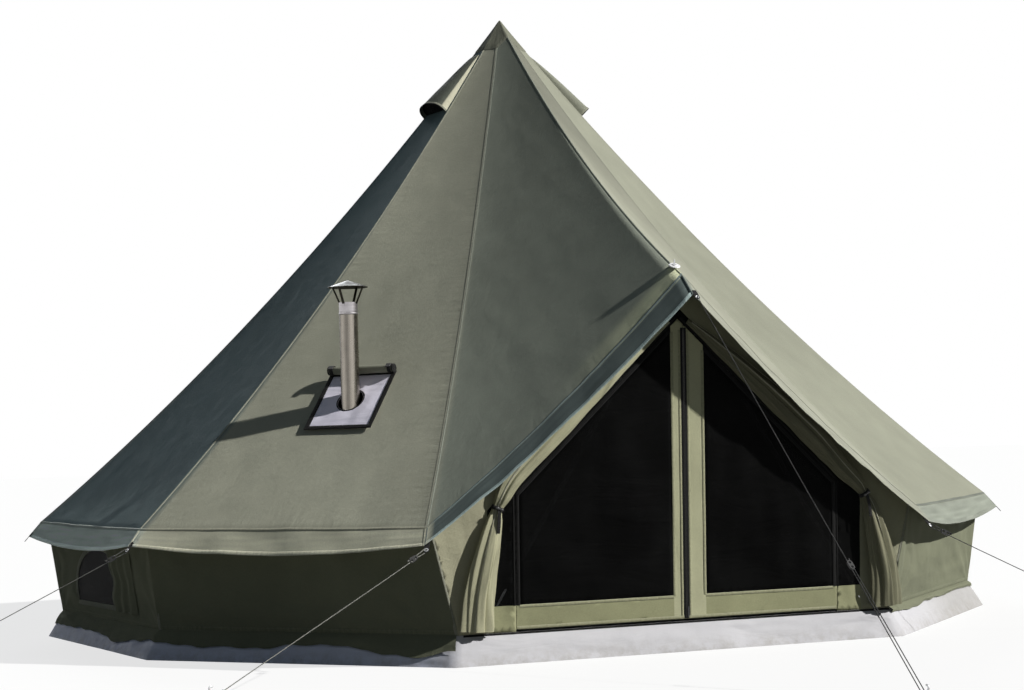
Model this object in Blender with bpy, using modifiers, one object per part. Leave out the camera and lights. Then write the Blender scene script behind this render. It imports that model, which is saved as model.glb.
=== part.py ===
"""Ten-sided bell tent with groundsheet, mesh doors, tied-back canvas doors, guys and a stovepipe.

Units are metres and +Z is up. The origin is on the ground under the centre pole, and the door
faces -Y. Angles round the tent start at the door and grow towards +X, so the panels that follow
the door on its left side have negative angles.
"""
import math

import bmesh
import bpy
from mathutils import Matrix, Vector

# Canopy outline
PANELS = 9
DOOR_HALF_ANGLE = math.radians(27.8)
APEX_HEIGHT = 3.384
EAVE_RADIUS = 2.61
EAVE_HEIGHT = 0.61
HEM_RADIUS = 2.675
HEM_HEIGHT = 0.535
ROOF_SAG = 0.15
HEM_SAG = 0.04
APEX_CAP_RADIUS = 0.15
CANVAS = 0.003

# Door front of the canopy: the ridge runs from the apex over the A-frame to the hem
RIDGE_REACH = 2.385
RIDGE_END_HEIGHT = 1.709
RIDGE_SAG = 0.12
AWNING_REACH = 2.50
AWNING_HEIGHT = 1.607
DOOR_EDGE_SAG = 0.04
DOOR_HEM_SAG = 0.045

# Walls and groundsheet
WALL_RADIUS = 2.50
WALL_TOP_RADIUS = 2.577
DOOR_WALL_HALF_ANGLE = math.radians(25.5)
RIM_HEIGHT = 0.13
RIM_FOOT_RADIUS = 2.580
RIM_WALL = 0.004
FLOOR_THICKNESS = 0.004

# Clearances: the gap of touching pieces, of sewn edges that lie in a plane, and of running pieces
GAP = 0.0003
SEAM_INSET = 0.0012
RUNNING = 0.0006

# Centre pole
POLE_RADIUS = 0.019
POLE_SPLIT = 1.70
SPIGOT_RADIUS = 0.0165
SPIGOT_LENGTH = 0.12
POLE_TIP_RADIUS = 0.008
POLE_TIP_LENGTH = 0.045
POLE_FOOT_RADIUS = 0.045
POLE_FOOT_HEIGHT = 0.025

# A-frame of the door
LEG_RADIUS = 0.0125
LEG_SPREAD = 1.04
FRAME_SETBACK = 0.0178
JOINT_RADIUS = 0.0155
JOINT_ARM = 0.11
JOINT_DROP = 0.055
LEG_END = 0.042
PIN_RADIUS = 0.003
PIN_RISE = 0.030
CAP_DISC_RADIUS = 0.028
CAP_DISC_THICKNESS = 0.004
CAP_DISC_HOLE = 0.0062
CAP_DISC_RISE = 0.004

# Mesh doors, in the leaning plane between the two front wall corners
ZIP_X = 0.027
LEAF_OUTER = 0.80
LEAF_BOTTOM = 0.010
HINGE_TOP = 1.380
HINGE_SLOPE = 0.9615
LEAF_GAP = 0.001
LEAF_CORNER = 0.006
LEAF_THICKNESS = 0.003
NET_THICKNESS = 0.0015
STILE_LEFT = 0.062
STILE_RIGHT = 0.098
BOTTOM_BAND = 0.117
EDGE_BAND = 0.018
ZIP_BAND = 0.014
SURROUND_TOP = 1.490
SURROUND_NOTCH = 0.085

# Zip slider, on the right leaf's half of the zip
SLIDER_REST = 0.045
SLIDER_WIDTH = 0.011
SLIDER_LENGTH = 0.020
SLIDER_DEPTH = 0.006
PULL_WIDTH = 0.008
PULL_LENGTH = 0.034
PULL_THICKNESS = 0.0018

# Canvas doors gathered back along the hem and tied
FLAP_LOBES = 5
FLAP_LOBE_DEPTH = 0.16
FLAP_CLEARANCE = 0.001
FLAP_MARGIN = 0.008
FLAP_MARGIN_GROWTH = 0.010
FLAP_TIE_LEFT = 0.885
FLAP_TIE_RIGHT = 0.945
FLAP_TIE_HEIGHT = 0.550

# Wall windows and their covers
WINDOW_HALF_WIDTH = 0.42
WINDOW_SILL = 0.07
WINDOW_HEIGHT = 0.30
COVER_WIDTH = 0.34
COVER_DROP = 0.33
COVER_FOLDS = 3
COVER_DEPTH = 0.014

# Vent hoods near the apex
HOOD_TOP = 0.165
HOOD_MOUTH = 0.44
HOOD_TOP_HEIGHT = 0.008
HOOD_HEIGHT = 0.085
HOOD_SIDE_MARGIN = 0.008

# Stove jack and stovepipe
JACK_SIDE = 0.04
JACK_DISTANCE = 1.88
JACK_WIDTH = 0.366
JACK_LENGTH = 0.385
JACK_BORDER = 0.022
HEAT_PANEL_THICKNESS = 0.002
PIPE_RADIUS = 0.045
PIPE_WALL = 0.0012
PIPE_TOP = 1.600
PIPE_LENGTH = 0.745
COLLAR_TOP = 1.660
COLLAR_PLUG = 0.030
COLLAR_WALL = 0.0015
RAIN_CAP_RADIUS = 0.0965
RAIN_CAP_RIM = 1.734
RAIN_CAP_APEX = 1.768
RAIN_CAP_THICKNESS = 0.002
CAP_LEG_WIDTH = 0.012
CAP_LEGS = 4
ROLL_RADIUS = 0.022
ROLL_CORE = 0.008
ROLL_TURNS = 3
ROLL_THICKNESS = 0.002

# Guys
ROPE_RADIUS = 0.002
LOOP_RADIUS = 0.0082
PEG_RADIUS = 0.004
PEG_HEIGHT = 0.060
PEG_HOOK_RADIUS = 0.009
ROPE_PEG_HEIGHT = 0.020
TAB_WIDTH = 0.024
TAB_LENGTH = 0.034
TAB_EYE_DEPTH = 0.013
TAB_HOLE_RADIUS = 0.0060
EYE_PULL = 0.0009
AWNING_EYE_SLACK = 0.0010
RUNNER_LENGTH = 0.046
RUNNER_WIDTH = 0.022
RUNNER_THICKNESS = 0.0085
RUNNER_WINDOW = 0.0062
STRAND_OFFSET = 0.0052
RUNNER_FROM_EYE = 0.075
RUNNER_TRAVEL = 0.15
AWNING_RUNNER_TRAVEL = 0.40
AWNING_RUNNER_SHARE = 0.72

# Where the four pegs stand: left, front left, front and front right
PEG_LEFT = (-3.24, -0.87)
PEG_FRONT_LEFT = (-2.26, -2.88)
PEG_FRONT = (0.06, -4.20)
PEG_FRONT_RIGHT = (2.23, -2.51)

PANEL_ANGLE = (2 * math.pi - 2 * DOOR_HALF_ANGLE) / PANELS
DOOR_PLANE = WALL_RADIUS * math.cos(DOOR_WALL_HALF_ANGLE)
RIDGE_SHARE = RIDGE_REACH / EAVE_RADIUS
ROOF_RADII = [0.06, 0.22, 0.50, 0.85, 1.25, 1.68, 2.12, EAVE_RADIUS]
VALANCE_ROWS = 2


# Scene and materials

for old in list(bpy.data.objects):
    bpy.data.objects.remove(old)

tent = bpy.data.collections.new("bell_tent")
cutters = bpy.data.collections.new("cutters")
bpy.context.scene.collection.children.link(tent)
bpy.context.scene.collection.children.link(cutters)


def material(name, color, roughness, metallic=0.0, alpha=1.0):
    made = bpy.data.materials.new(name)
    made.use_nodes = True
    shader = made.node_tree.nodes["Principled BSDF"]
    shader.inputs["Base Color"].default_value = (*color, 1.0)
    shader.inputs["Roughness"].default_value = roughness
    shader.inputs["Metallic"].default_value = metallic
    shader.inputs["Alpha"].default_value = alpha
    return made


CANVAS_OLIVE = material("canvas_olive", (0.20, 0.20, 0.14), 0.9)
CANVAS_DOOR = material("canvas_door", (0.30, 0.30, 0.19), 0.9)
GROUND_PVC = material("ground_pvc", (0.62, 0.62, 0.68), 0.5)
NET_BLACK = material("net_black", (0.012, 0.013, 0.012), 0.8)
POLE_STEEL = material("pole_steel", (0.55, 0.56, 0.57), 0.35, 1.0)
PIPE_STEEL = material("pipe_steel", (0.62, 0.58, 0.52), 0.3, 1.0)
BLACK_WEBBING = material("black_webbing", (0.02, 0.02, 0.02), 0.85)
HEAT_WHITE = material("heat_white", (0.78, 0.76, 0.84), 0.7)
WHITE_PLASTIC = material("white_plastic", (0.85, 0.85, 0.86), 0.4)
RUBBER = material("rubber", (0.03, 0.03, 0.03), 0.8)
ROPE = material("rope", (0.05, 0.05, 0.045), 0.8)


# Building helpers

def link(name, mesh, look, collection=None):
    """Make an object of a mesh in the tent's collection."""
    made = bpy.data.objects.new(name, mesh)
    if look:
        made.data.materials.append(look)
    (collection or tent).objects.link(made)
    return made


def from_bmesh(name, bm, look, collection=None, smooth_angle=35):
    """Turn a bmesh into an object with its faces pointing out."""
    bmesh.ops.recalc_face_normals(bm, faces=bm.faces)
    mesh = bpy.data.meshes.new(name)
    bm.to_mesh(mesh)
    bm.free()
    mesh.shade_smooth()
    mesh.set_sharp_from_angle(angle=math.radians(smooth_angle))
    return link(name, mesh, look, collection)


def surface(rows, closed=False):
    """Lay an open surface through rows of points; closed joins each row's ends."""
    bm = bmesh.new()
    grid = [[bm.verts.new(point) for point in row] for row in rows]
    columns = len(rows[0])
    for low, high in zip(grid, grid[1:]):
        for k in range(columns if closed else columns - 1):
            following = (k + 1) % columns
            bm.faces.new((low[k], low[following], high[following], high[k]))
    return bm


def thicken(bm, offset):
    """Give an open surface a second skin, each point moved by offset(point)."""
    whole = bm.faces[:] + bm.edges[:] + bm.verts[:]
    grown = bmesh.ops.extrude_face_region(bm, geom=whole, use_keep_orig=True)
    for item in grown["geom"]:
        if isinstance(item, bmesh.types.BMVert):
            item.co += offset(item.co.copy())
    return bm


def loft(rings):
    """Skin closed rings of points and cap both ends."""
    bm = surface(rings, closed=True)
    bm.verts.ensure_lookup_table()
    count = len(rings[0])
    bm.faces.new(bm.verts[:count])
    bm.faces.new(bm.verts[-count:])
    return bm


def plate(name, outline, thickness, frame, look, holes=()):
    """Flat outline of (x, y) points with holes, extruded evenly about the frame's XY plane."""
    curve = bpy.data.curves.new(name, "CURVE")
    curve.dimensions = "2D"
    curve.fill_mode = "BOTH"
    curve.extrude = thickness / 2
    for points in (outline, *holes):
        spline = curve.splines.new("POLY")
        spline.points.add(len(points) - 1)
        for slot, (x, y) in zip(spline.points, points):
            slot.co = (x, y, 0.0, 1.0)
        spline.use_cyclic_u = True
    made = link(name, curve, look)
    made.matrix_world = frame
    return made


def slab(name, outline, thickness, frame, look=None, collection=None):
    """The same as a mesh without holes, for a cutter or for a piece that gets one."""
    bm = bmesh.new()
    low = [bm.verts.new((x, y, -thickness / 2)) for x, y in outline]
    face = bm.faces.new(low)
    grown = bmesh.ops.extrude_face_region(bm, geom=[face], use_keep_orig=True)
    for item in grown["geom"]:
        if isinstance(item, bmesh.types.BMVert):
            item.co.z += thickness
    bmesh.ops.transform(bm, matrix=frame, verts=bm.verts)
    return from_bmesh(name, bm, look, collection)


def cylinder(name, radius, depth, frame, look=None, collection=None, segments=32):
    """Round bar centred on the frame's origin along its Z axis."""
    bm = bmesh.new()
    bmesh.ops.create_cone(
        bm, cap_ends=True, segments=segments, radius1=radius, radius2=radius, depth=depth)
    bmesh.ops.transform(bm, matrix=frame, verts=bm.verts)
    return from_bmesh(name, bm, look, collection)


def turned(name, profile, look, frame=None, steps=32):
    """Turn a profile of (radius, height) points, given from its top down its outer side."""
    mesh = bpy.data.meshes.new(name)
    points = [(radius, 0.0, height) for radius, height in profile]
    edges = [(k, k + 1) for k in range(len(points) - 1)]
    if profile[0][0] > 0 and profile[-1][0] > 0:
        edges.append((len(points) - 1, 0))
    mesh.from_pydata(points, edges, [])
    made = link(name, mesh, look)
    if frame:
        made.matrix_world = frame
    screw = made.modifiers.new("turn", "SCREW")
    screw.steps = steps
    screw.render_steps = steps
    screw.use_merge_vertices = True
    screw.merge_threshold = 0.00005
    screw.use_smooth_shade = True
    return made


def tube(name, points, radius, look, resolution=2):
    """Round tube along a list of points, with filled ends."""
    curve = bpy.data.curves.new(name, "CURVE")
    curve.dimensions = "3D"
    curve.bevel_depth = radius
    curve.bevel_resolution = resolution
    curve.use_fill_caps = True
    spline = curve.splines.new("POLY")
    spline.points.add(len(points) - 1)
    for slot, point in zip(spline.points, points):
        slot.co = (*point, 1.0)
    spline.use_smooth = True
    return link(name, curve, look)


def hang(name, place, *pieces):
    """Parent moving pieces to an empty on their joint's axis, where they stand."""
    empty = bpy.data.objects.new(name, None)
    empty.empty_display_size = 0.05
    empty.location = place
    tent.objects.link(empty)
    for piece in pieces:
        piece.parent = empty
        piece.matrix_parent_inverse = Matrix.Translation(-place)
    return empty


def circle(radius_x, radius_y, x=0.0, y=0.0, steps=16):
    """Points of a circle or an ellipse."""
    turns = [2 * math.pi * k / steps for k in range(steps)]
    return [(x + radius_x * math.cos(turn), y + radius_y * math.sin(turn)) for turn in turns]


def cut(target, *tools, operation="DIFFERENCE"):
    """Cut a piece by tools, or join them to it, with Boolean modifiers."""
    for tool in tools:
        tool.hide_render = True
        tool.display_type = "WIRE"
        if tool.name not in cutters.objects:
            for holder in list(tool.users_collection):
                holder.objects.unlink(tool)
            cutters.objects.link(tool)
        modifier = target.modifiers.new(operation.lower(), "BOOLEAN")
        modifier.operation = operation
        modifier.object = tool
        modifier.solver = "EXACT"
    return target


def frame_of(origin, x_axis, y_axis):
    """Frame with its Z axis square to two given directions."""
    x_axis = x_axis.normalized()
    z_axis = x_axis.cross(y_axis).normalized()
    y_axis = z_axis.cross(x_axis)
    turn = Matrix((x_axis, y_axis, z_axis)).transposed().to_4x4()
    return Matrix.Translation(origin) @ turn


def spread(low, high, count):
    """Evenly spaced values from low to high."""
    return [low + (high - low) * k / (count - 1) for k in range(count)]


def arch(u):
    """Zero at both ends and one in the middle."""
    return 4 * u * (1 - u)


# The canopy as formulas

def polar(radius, angle, height):
    return Vector((radius * math.sin(angle), -radius * math.cos(angle), height))


def corner_angle(corner):
    """Angle of a roof seam: 1 is left of the door, and the count runs clockwise to 10."""
    return -(DOOR_HALF_ANGLE + (corner - 1) * PANEL_ANGLE)


def sagging(share, low, sag):
    """Height along a seam or ridge that sags between the apex and its lower end."""
    return APEX_HEIGHT - (APEX_HEIGHT - low) * share - sag * arch(share)


def over_facets(radius, low, sag):
    """The sagging height as the straight facets between the rows of points carry it."""
    stations = [0.0] + ROOF_RADII
    for near, far in zip(stations, stations[1:]):
        if radius <= far or far == EAVE_RADIUS:
            share = (radius - near) / (far - near)
            inner = sagging(near / EAVE_RADIUS, low, sag)
            outer = sagging(far / EAVE_RADIUS, low, sag)
            return inner + (outer - inner) * share


def seam_height(radius):
    return over_facets(radius, EAVE_HEIGHT, ROOF_SAG)


def ridge_height(radius):
    return over_facets(radius, RIDGE_END_HEIGHT, RIDGE_SAG)


def side_shift(point, angle, amount):
    """Move a point square to the upright plane at an angle, towards growing angles."""
    return point + Vector((math.cos(angle), math.sin(angle), 0)) * amount


def under(point):
    """From the outer to the inner skin of the roof: in and down."""
    flat = Vector((point.x, point.y, 0))
    inward = -flat.normalized() if flat.length > 1e-6 else Vector((0, 0, 0))
    return (inward + Vector((0, 0, -1))) * CANVAS * math.sqrt(0.5)


def behind(point):
    """From the outer to the inner skin of a wall: straight in."""
    return -Vector((point.x, point.y, 0)).normalized() * CANVAS


def unit(vector):
    return vector.normalized()


WALL_TOP = seam_height(WALL_TOP_RADIUS) - CANVAS * 1.6 - GAP
DOOR_LEAN = (WALL_TOP_RADIUS * math.cos(DOOR_HALF_ANGLE) - DOOR_PLANE) / (WALL_TOP - RIM_HEIGHT)
DOOR = frame_of(
    Vector((0, -(DOOR_PLANE - LEAF_THICKNESS / 2), RIM_HEIGHT)),
    Vector((1, 0, 0)),
    Vector((0, -DOOR_LEAN, 1)))
TAB_EYES = {}


def door_point(x, up, out=0.0):
    """Point in the door's plane: across, up from the rim and out of the plane's middle."""
    return DOOR @ Vector((x, up, out))


def hinge_line(x):
    """Height up the door's plane of the sewn edge that a leaf turns on."""
    return HINGE_TOP - HINGE_SLOPE * abs(x)


# Roof

def add_tab(panel, key, seat_line, along, out):
    """Sew a guy tab to a panel's hem, reaching from its seam into the panel."""
    frame = frame_of(seat_line, along, out)
    chamfer = 0.006
    outline = [
        (GAP, -0.010), (TAB_WIDTH, -0.010), (TAB_WIDTH, TAB_LENGTH - chamfer),
        (TAB_WIDTH - chamfer, TAB_LENGTH), (GAP + chamfer, TAB_LENGTH), (GAP, TAB_LENGTH - chamfer)]
    tab = slab(f"guy_tab_{key}", outline, CANVAS * 0.8, frame, None, cutters)
    eye = frame @ Matrix.Translation((TAB_WIDTH / 2, TAB_LENGTH - TAB_EYE_DEPTH, 0))
    hole = cylinder(f"guy_eye_{key}", TAB_HOLE_RADIUS, 0.03, eye, None, cutters, 16)
    cut(panel, tab, operation="UNION")
    cut(panel, hole)
    normal = unit(along.cross(out))
    if normal.z < 0:
        normal = -normal
    TAB_EYES[key] = (eye.translation.copy(), unit(out), normal)


def corner_tab(panel, corner, side):
    """Guy tab at the foot of a seam; side is 1 where the panel lies towards growing angles."""
    angle = corner_angle(corner)
    tip = polar(HEM_RADIUS, angle, HEM_HEIGHT)
    out = tip - polar(EAVE_RADIUS, angle, EAVE_HEIGHT)
    along = Vector((math.cos(angle), math.sin(angle), 0)) * side
    add_tab(panel, f"corner_{corner}", tip + under(tip) / 2, along, out)


def roof_panel(number):
    """One plain roof panel between two seams, with its valance."""
    first = corner_angle(number)
    last = corner_angle(number + 1)
    shares = spread(0, 1, 7)
    rows = []
    for radius in ROOF_RADII:
        start = side_shift(polar(radius, first, seam_height(radius)), first, -GAP / 2)
        end = side_shift(polar(radius, last, seam_height(radius)), last, GAP / 2)
        rows.append([start.lerp(end, u) for u in shares])
    eave = rows[-1]
    start = side_shift(polar(HEM_RADIUS, first, HEM_HEIGHT), first, -GAP / 2)
    end = side_shift(polar(HEM_RADIUS, last, HEM_HEIGHT), last, GAP / 2)
    hem = [start.lerp(end, u) - Vector((0, 0, HEM_SAG * arch(u))) for u in shares]
    for row in range(1, VALANCE_ROWS + 1):
        rows.append([a.lerp(b, row / VALANCE_ROWS) for a, b in zip(eave, hem)])
    made = from_bmesh(f"roof_panel_{number}", thicken(surface(rows), under), CANVAS_OLIVE)
    if number < PANELS:
        corner_tab(made, number + 1, 1)
    return made


def door_roof_rows(side, shares):
    """Points of half the door's roof panel, from the ridge to its corner seam, and its valance."""
    angle = side * DOOR_HALF_ANGLE
    rows = []
    for radius in ROOF_RADII:
        ridge = Vector((side * GAP / 2, -radius * RIDGE_SHARE, ridge_height(radius)))
        seam = side_shift(polar(radius, angle, seam_height(radius)), angle, -side * GAP / 2)
        slack = DOOR_EDGE_SAG * (radius / EAVE_RADIUS) ** 2
        rows.append([ridge.lerp(seam, u) - Vector((0, 0, slack * arch(u))) for u in shares])
    eave = rows[-1]
    front = Vector((side * GAP / 2, -AWNING_REACH, AWNING_HEIGHT))
    tip = side_shift(polar(HEM_RADIUS, angle, HEM_HEIGHT), angle, -side * GAP / 2)
    hem = [front.lerp(tip, u) - Vector((0, 0, DOOR_HEM_SAG * arch(u))) for u in shares]
    for row in range(1, VALANCE_ROWS + 1):
        rows.append([a.lerp(b, row / VALANCE_ROWS) for a, b in zip(eave, hem)])
    return rows


def door_roof_height(x, reach):
    """Outer height of the door's roof panel over a point of the plan."""
    x = abs(x)
    slant = RIDGE_SHARE / math.sin(DOOR_HALF_ANGLE) - 1 / math.tan(DOOR_HALF_ANGLE)
    radius = (reach + x * slant) / RIDGE_SHARE
    share = x / (radius * math.sin(DOOR_HALF_ANGLE))
    slack = DOOR_EDGE_SAG * (radius / EAVE_RADIUS) ** 2
    ridge = ridge_height(radius)
    return ridge + (seam_height(radius) - ridge) * share - slack * arch(share)


def door_roof_underside(x, reach):
    """Inner height of the door's roof panel over a point of the plan."""
    grow = 1 + CANVAS * math.sqrt(0.5) / math.hypot(x, reach)
    return door_roof_height(x * grow, reach * grow) - CANVAS * math.sqrt(0.5)


def roof_height(distance):
    """Outer height of a plain panel at a distance from the axis, square to the panel."""
    return seam_height(distance / math.cos(PANEL_ANGLE / 2))


def make_roof():
    panels = {number: roof_panel(number) for number in range(1, PANELS + 1)}
    open_stove_jack(panels[1])
    for side, word in ((-1, "left"), (1, "right")):
        rows = door_roof_rows(side, spread(0, 1, 8))
        made = from_bmesh(f"roof_door_{word}", thicken(surface(rows), under), CANVAS_OLIVE)
        corner_tab(made, 1 if side < 0 else PANELS + 1, -side)
        place = frame_crown()
        pin_hole = cylinder(
            f"pin_hole_{word}", PIN_RADIUS + GAP, 0.2, Matrix.Translation(place), None, cutters, 16)
        cut(made, pin_hole)
        if side > 0:
            front = Vector((0, -AWNING_REACH, AWNING_HEIGHT))
            out = front - Vector((0, -RIDGE_REACH, RIDGE_END_HEIGHT))
            add_tab(made, "awning", front + under(front) / 2, Vector((1, 0, 0)), out)
    for number, word in ((2, "left"), (8, "right")):
        vent_hood(number, word)
    make_apex_cap()


def make_apex_cap():
    """Reinforcing cap sewn over the top of every panel."""
    bm = bmesh.new()
    angles = [corner_angle(corner) for corner in range(1, PANELS + 2)] + [0.0]
    lift = GAP * 2
    top = bm.verts.new((0, 0, APEX_HEIGHT + lift))
    rings = []
    for radius in (APEX_CAP_RADIUS * 0.5, APEX_CAP_RADIUS):
        ring = []
        for angle in angles:
            reach = radius if angle else radius * RIDGE_SHARE
            height = seam_height(radius) if angle else ridge_height(radius)
            ring.append(bm.verts.new(polar(reach, angle, height + lift)))
        rings.append(ring)
    count = len(angles)
    for k in range(count):
        following = (k + 1) % count
        bm.faces.new((top, rings[0][k], rings[0][following]))
        bm.faces.new((rings[0][k], rings[1][k], rings[1][following], rings[0][following]))
    thicken(bm, lambda point: Vector((0, 0, CANVAS * math.sqrt(2))))
    from_bmesh("apex_cap", bm, CANVAS_OLIVE)


def vent_hood(number, word):
    """Half-cone hood, nearly shut at its top and open at its lower mouth, sewn on a roof panel."""
    middle = (corner_angle(number) + corner_angle(number + 1)) / 2
    out = Vector((math.sin(middle), -math.cos(middle), 0))
    side = Vector((math.cos(middle), math.sin(middle), 0))
    normal = unit(out + Vector((0, 0, 1)))
    stations = [HOOD_TOP, ROOF_RADII[1] * math.cos(PANEL_ANGLE / 2), 0.31, HOOD_MOUTH]
    rows = []
    inners = []
    for distance in stations:
        share = (distance - HOOD_TOP) / (HOOD_MOUTH - HOOD_TOP)
        width = distance * math.tan(PANEL_ANGLE / 2) - HOOD_SIDE_MARGIN
        height = HOOD_TOP_HEIGHT + (HOOD_HEIGHT - HOOD_TOP_HEIGHT) * share ** 0.8
        foot = out * distance + Vector((0, 0, roof_height(distance) + GAP * 1.5))
        outer = []
        inner = []
        for turn in spread(0, math.pi, 13):
            rise = math.sin(turn) ** 0.7 if 0.01 < turn < math.pi - 0.01 else 0.0
            outer.append(foot - side * width * math.cos(turn) + normal * height * rise)
            inner.append(
                foot - side * (width - CANVAS) * math.cos(turn) + normal * (height - CANVAS) * rise)
        rows.append(outer)
        inners.append(inner)
    moves = {}
    for outer, inner in zip(rows, inners):
        for a, b in zip(outer, inner):
            moves[tuple(round(c, 5) for c in a)] = b - a
    bm = thicken(surface(rows), lambda point: moves[tuple(round(c, 5) for c in point)])
    return from_bmesh(f"vent_hood_{word}", bm, CANVAS_OLIVE)


# Stove jack, stovepipe and its rain cap

def jack_place():
    """Frame on the stove jack's middle: X across the panel, Y up its slope and Z out of it."""
    middle = (corner_angle(1) + corner_angle(2)) / 2
    out = Vector((math.sin(middle), -math.cos(middle), 0))
    side = Vector((math.cos(middle), math.sin(middle), 0))
    low = out * (JACK_DISTANCE + 0.1) + Vector((0, 0, roof_height(JACK_DISTANCE + 0.1)))
    high = out * (JACK_DISTANCE - 0.1) + Vector((0, 0, roof_height(JACK_DISTANCE - 0.1)))
    seat = (low + high) / 2 + side * JACK_SIDE
    return frame_of(seat, side, high - low)


def rectangle(width, length):
    x, y = width / 2, length / 2
    return [(-x, -y), (x, -y), (x, y), (-x, y)]


def lifted(frame, amount):
    return frame @ Matrix.Translation((0, 0, amount))


def open_stove_jack(panel):
    """Cut the roof open under the heat panel, and lay the jack and its pieces over the opening."""
    frame = jack_place()
    inside = rectangle(JACK_WIDTH - 2 * JACK_BORDER, JACK_LENGTH - 2 * JACK_BORDER)
    cut(panel, slab("jack_opening", inside, 0.04, frame, None, cutters))
    heat_level = GAP + HEAT_PANEL_THICKNESS / 2
    slope = frame.to_3x3() @ Vector((0, 0, 1))
    tilt = math.acos(slope.z)
    hole = (PIPE_RADIUS + GAP) / math.cos(tilt) + HEAT_PANEL_THICKNESS / 2 * math.tan(tilt) + 0.0002
    plate(
        "jack_heat_panel", rectangle(JACK_WIDTH - 0.008, JACK_LENGTH - 0.008), HEAT_PANEL_THICKNESS,
        lifted(frame, heat_level), HEAT_WHITE, [circle(hole, hole, steps=48)])
    ring_level = GAP * 2 + HEAT_PANEL_THICKNESS + CANVAS / 2
    plate(
        "jack_frame", rectangle(JACK_WIDTH, JACK_LENGTH), CANVAS, lifted(frame, ring_level),
        BLACK_WEBBING, [inside])
    make_rain_flap(frame, ring_level + CANVAS / 2)
    make_pipe(lifted(frame, heat_level).translation)


def make_rain_flap(frame, level):
    """Flap that covers the jack in rain, rolled up along the jack's upper edge."""
    middle_y = JACK_LENGTH / 2 - 0.006
    middle_z = level + GAP * 2 + ROLL_RADIUS
    outer = []
    inner = []
    steps = 14 * ROLL_TURNS
    for step in range(steps + 1):
        share = step / steps
        radius = ROLL_CORE + (ROLL_RADIUS - ROLL_CORE) * share
        angle = -math.pi / 2 - 2 * math.pi * ROLL_TURNS * (1 - share)
        for ring, reach in ((outer, radius), (inner, radius - ROLL_THICKNESS)):
            ring.append((reach * math.cos(angle), reach * math.sin(angle)))
    outline = outer + inner[::-1]
    side = frame.to_3x3() @ Vector((1, 0, 0))
    up = frame.to_3x3() @ Vector((0, 1, 0))
    centre = frame @ Vector((0, middle_y, middle_z))
    across = frame_of(centre, up, unit(side.cross(up)))
    plate("jack_rain_flap", outline, JACK_WIDTH - 0.01, across, CANVAS_OLIVE)


def make_pipe(centre):
    """Upright flue pipe through the jack, and the rain cap that plugs into its top."""
    stand = Matrix.Translation((centre.x, centre.y, 0))
    bottom = PIPE_TOP - PIPE_LENGTH
    bore = PIPE_RADIUS - PIPE_WALL
    turned("stovepipe", [
        (bore, PIPE_TOP), (PIPE_RADIUS, PIPE_TOP), (PIPE_RADIUS, bottom), (bore, bottom)],
        PIPE_STEEL, stand, 40)
    plug = bore - RUNNING
    seat = PIPE_TOP + GAP
    cap = turned("stovepipe_cap", [
        (plug - COLLAR_WALL, COLLAR_TOP), (PIPE_RADIUS, COLLAR_TOP), (PIPE_RADIUS, seat + 0.010),
        (PIPE_RADIUS + 0.0025, seat + 0.006), (PIPE_RADIUS + 0.0025, seat + 0.003), (PIPE_RADIUS, seat),
        (plug, seat), (plug, PIPE_TOP - COLLAR_PLUG), (plug - COLLAR_WALL, PIPE_TOP - COLLAR_PLUG)],
        PIPE_STEEL, stand, 40)
    cone = turned("rain_cone", [
        (0, RAIN_CAP_APEX), (RAIN_CAP_RADIUS, RAIN_CAP_RIM),
        (RAIN_CAP_RADIUS, RAIN_CAP_RIM - RAIN_CAP_THICKNESS),
        (0, RAIN_CAP_APEX - RAIN_CAP_THICKNESS)], None, stand, 40)
    fall = (RAIN_CAP_APEX - RAIN_CAP_RIM) / RAIN_CAP_RADIUS
    out = RAIN_CAP_RADIUS - 0.010
    top = RAIN_CAP_APEX - fall * out - RAIN_CAP_THICKNESS * 0.4
    foot = COLLAR_TOP - 0.022
    outline = [
        (PIPE_RADIUS - 0.0012, foot), (PIPE_RADIUS + 0.0010, foot), (PIPE_RADIUS + 0.0014, foot + 0.014),
        (out, top), (out - 0.003, top + fall * 0.003), (PIPE_RADIUS - 0.0012, foot + 0.017)]
    cut(cap, cone, operation="UNION")
    for k in range(CAP_LEGS):
        turn = Matrix.Rotation(2 * math.pi * (k + 0.5) / CAP_LEGS, 4, "Z")
        upright = Matrix.Rotation(math.pi / 2, 4, "X")
        leg = slab(f"cap_leg_{k + 1}", outline, CAP_LEG_WIDTH, stand @ turn @ upright, None, cutters)
        cut(cap, leg, operation="UNION")


# Walls, floor and rim

def wall_corner(corner, radius):
    """Angle of a wall corner; the two at the door stand closer together than the roof's."""
    if corner in (1, PANELS + 1):
        share = (radius - WALL_RADIUS) / (WALL_TOP_RADIUS - WALL_RADIUS)
        half = DOOR_WALL_HALF_ANGLE + (DOOR_HALF_ANGLE - DOOR_WALL_HALF_ANGLE) * max(0, share)
        return -half if corner == 1 else half - 2 * math.pi
    return corner_angle(corner)


def wall_rows(first, last):
    """Rows of points up a run of wall panels, from the rim to just under the roof."""
    rows = []
    corners = list(range(first, last + 1))
    for share in (0.0, 0.5, 1.0):
        level = []
        for corner in corners:
            low = polar(WALL_RADIUS, wall_corner(corner, WALL_RADIUS), RIM_HEIGHT + GAP)
            high = polar(WALL_TOP_RADIUS, wall_corner(corner, WALL_TOP_RADIUS), WALL_TOP)
            shift = -GAP / 2 if corner == first else GAP / 2 if corner == last else 0.0
            level.append(side_shift(low.lerp(high, share), wall_corner(corner, WALL_RADIUS), shift))
        full = []
        for a, b in zip(level, level[1:]):
            full += [a.lerp(b, u) for u in spread(0, 1, 4)[:-1]]
        rows.append(full + [level[-1]])
    return rows


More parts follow.
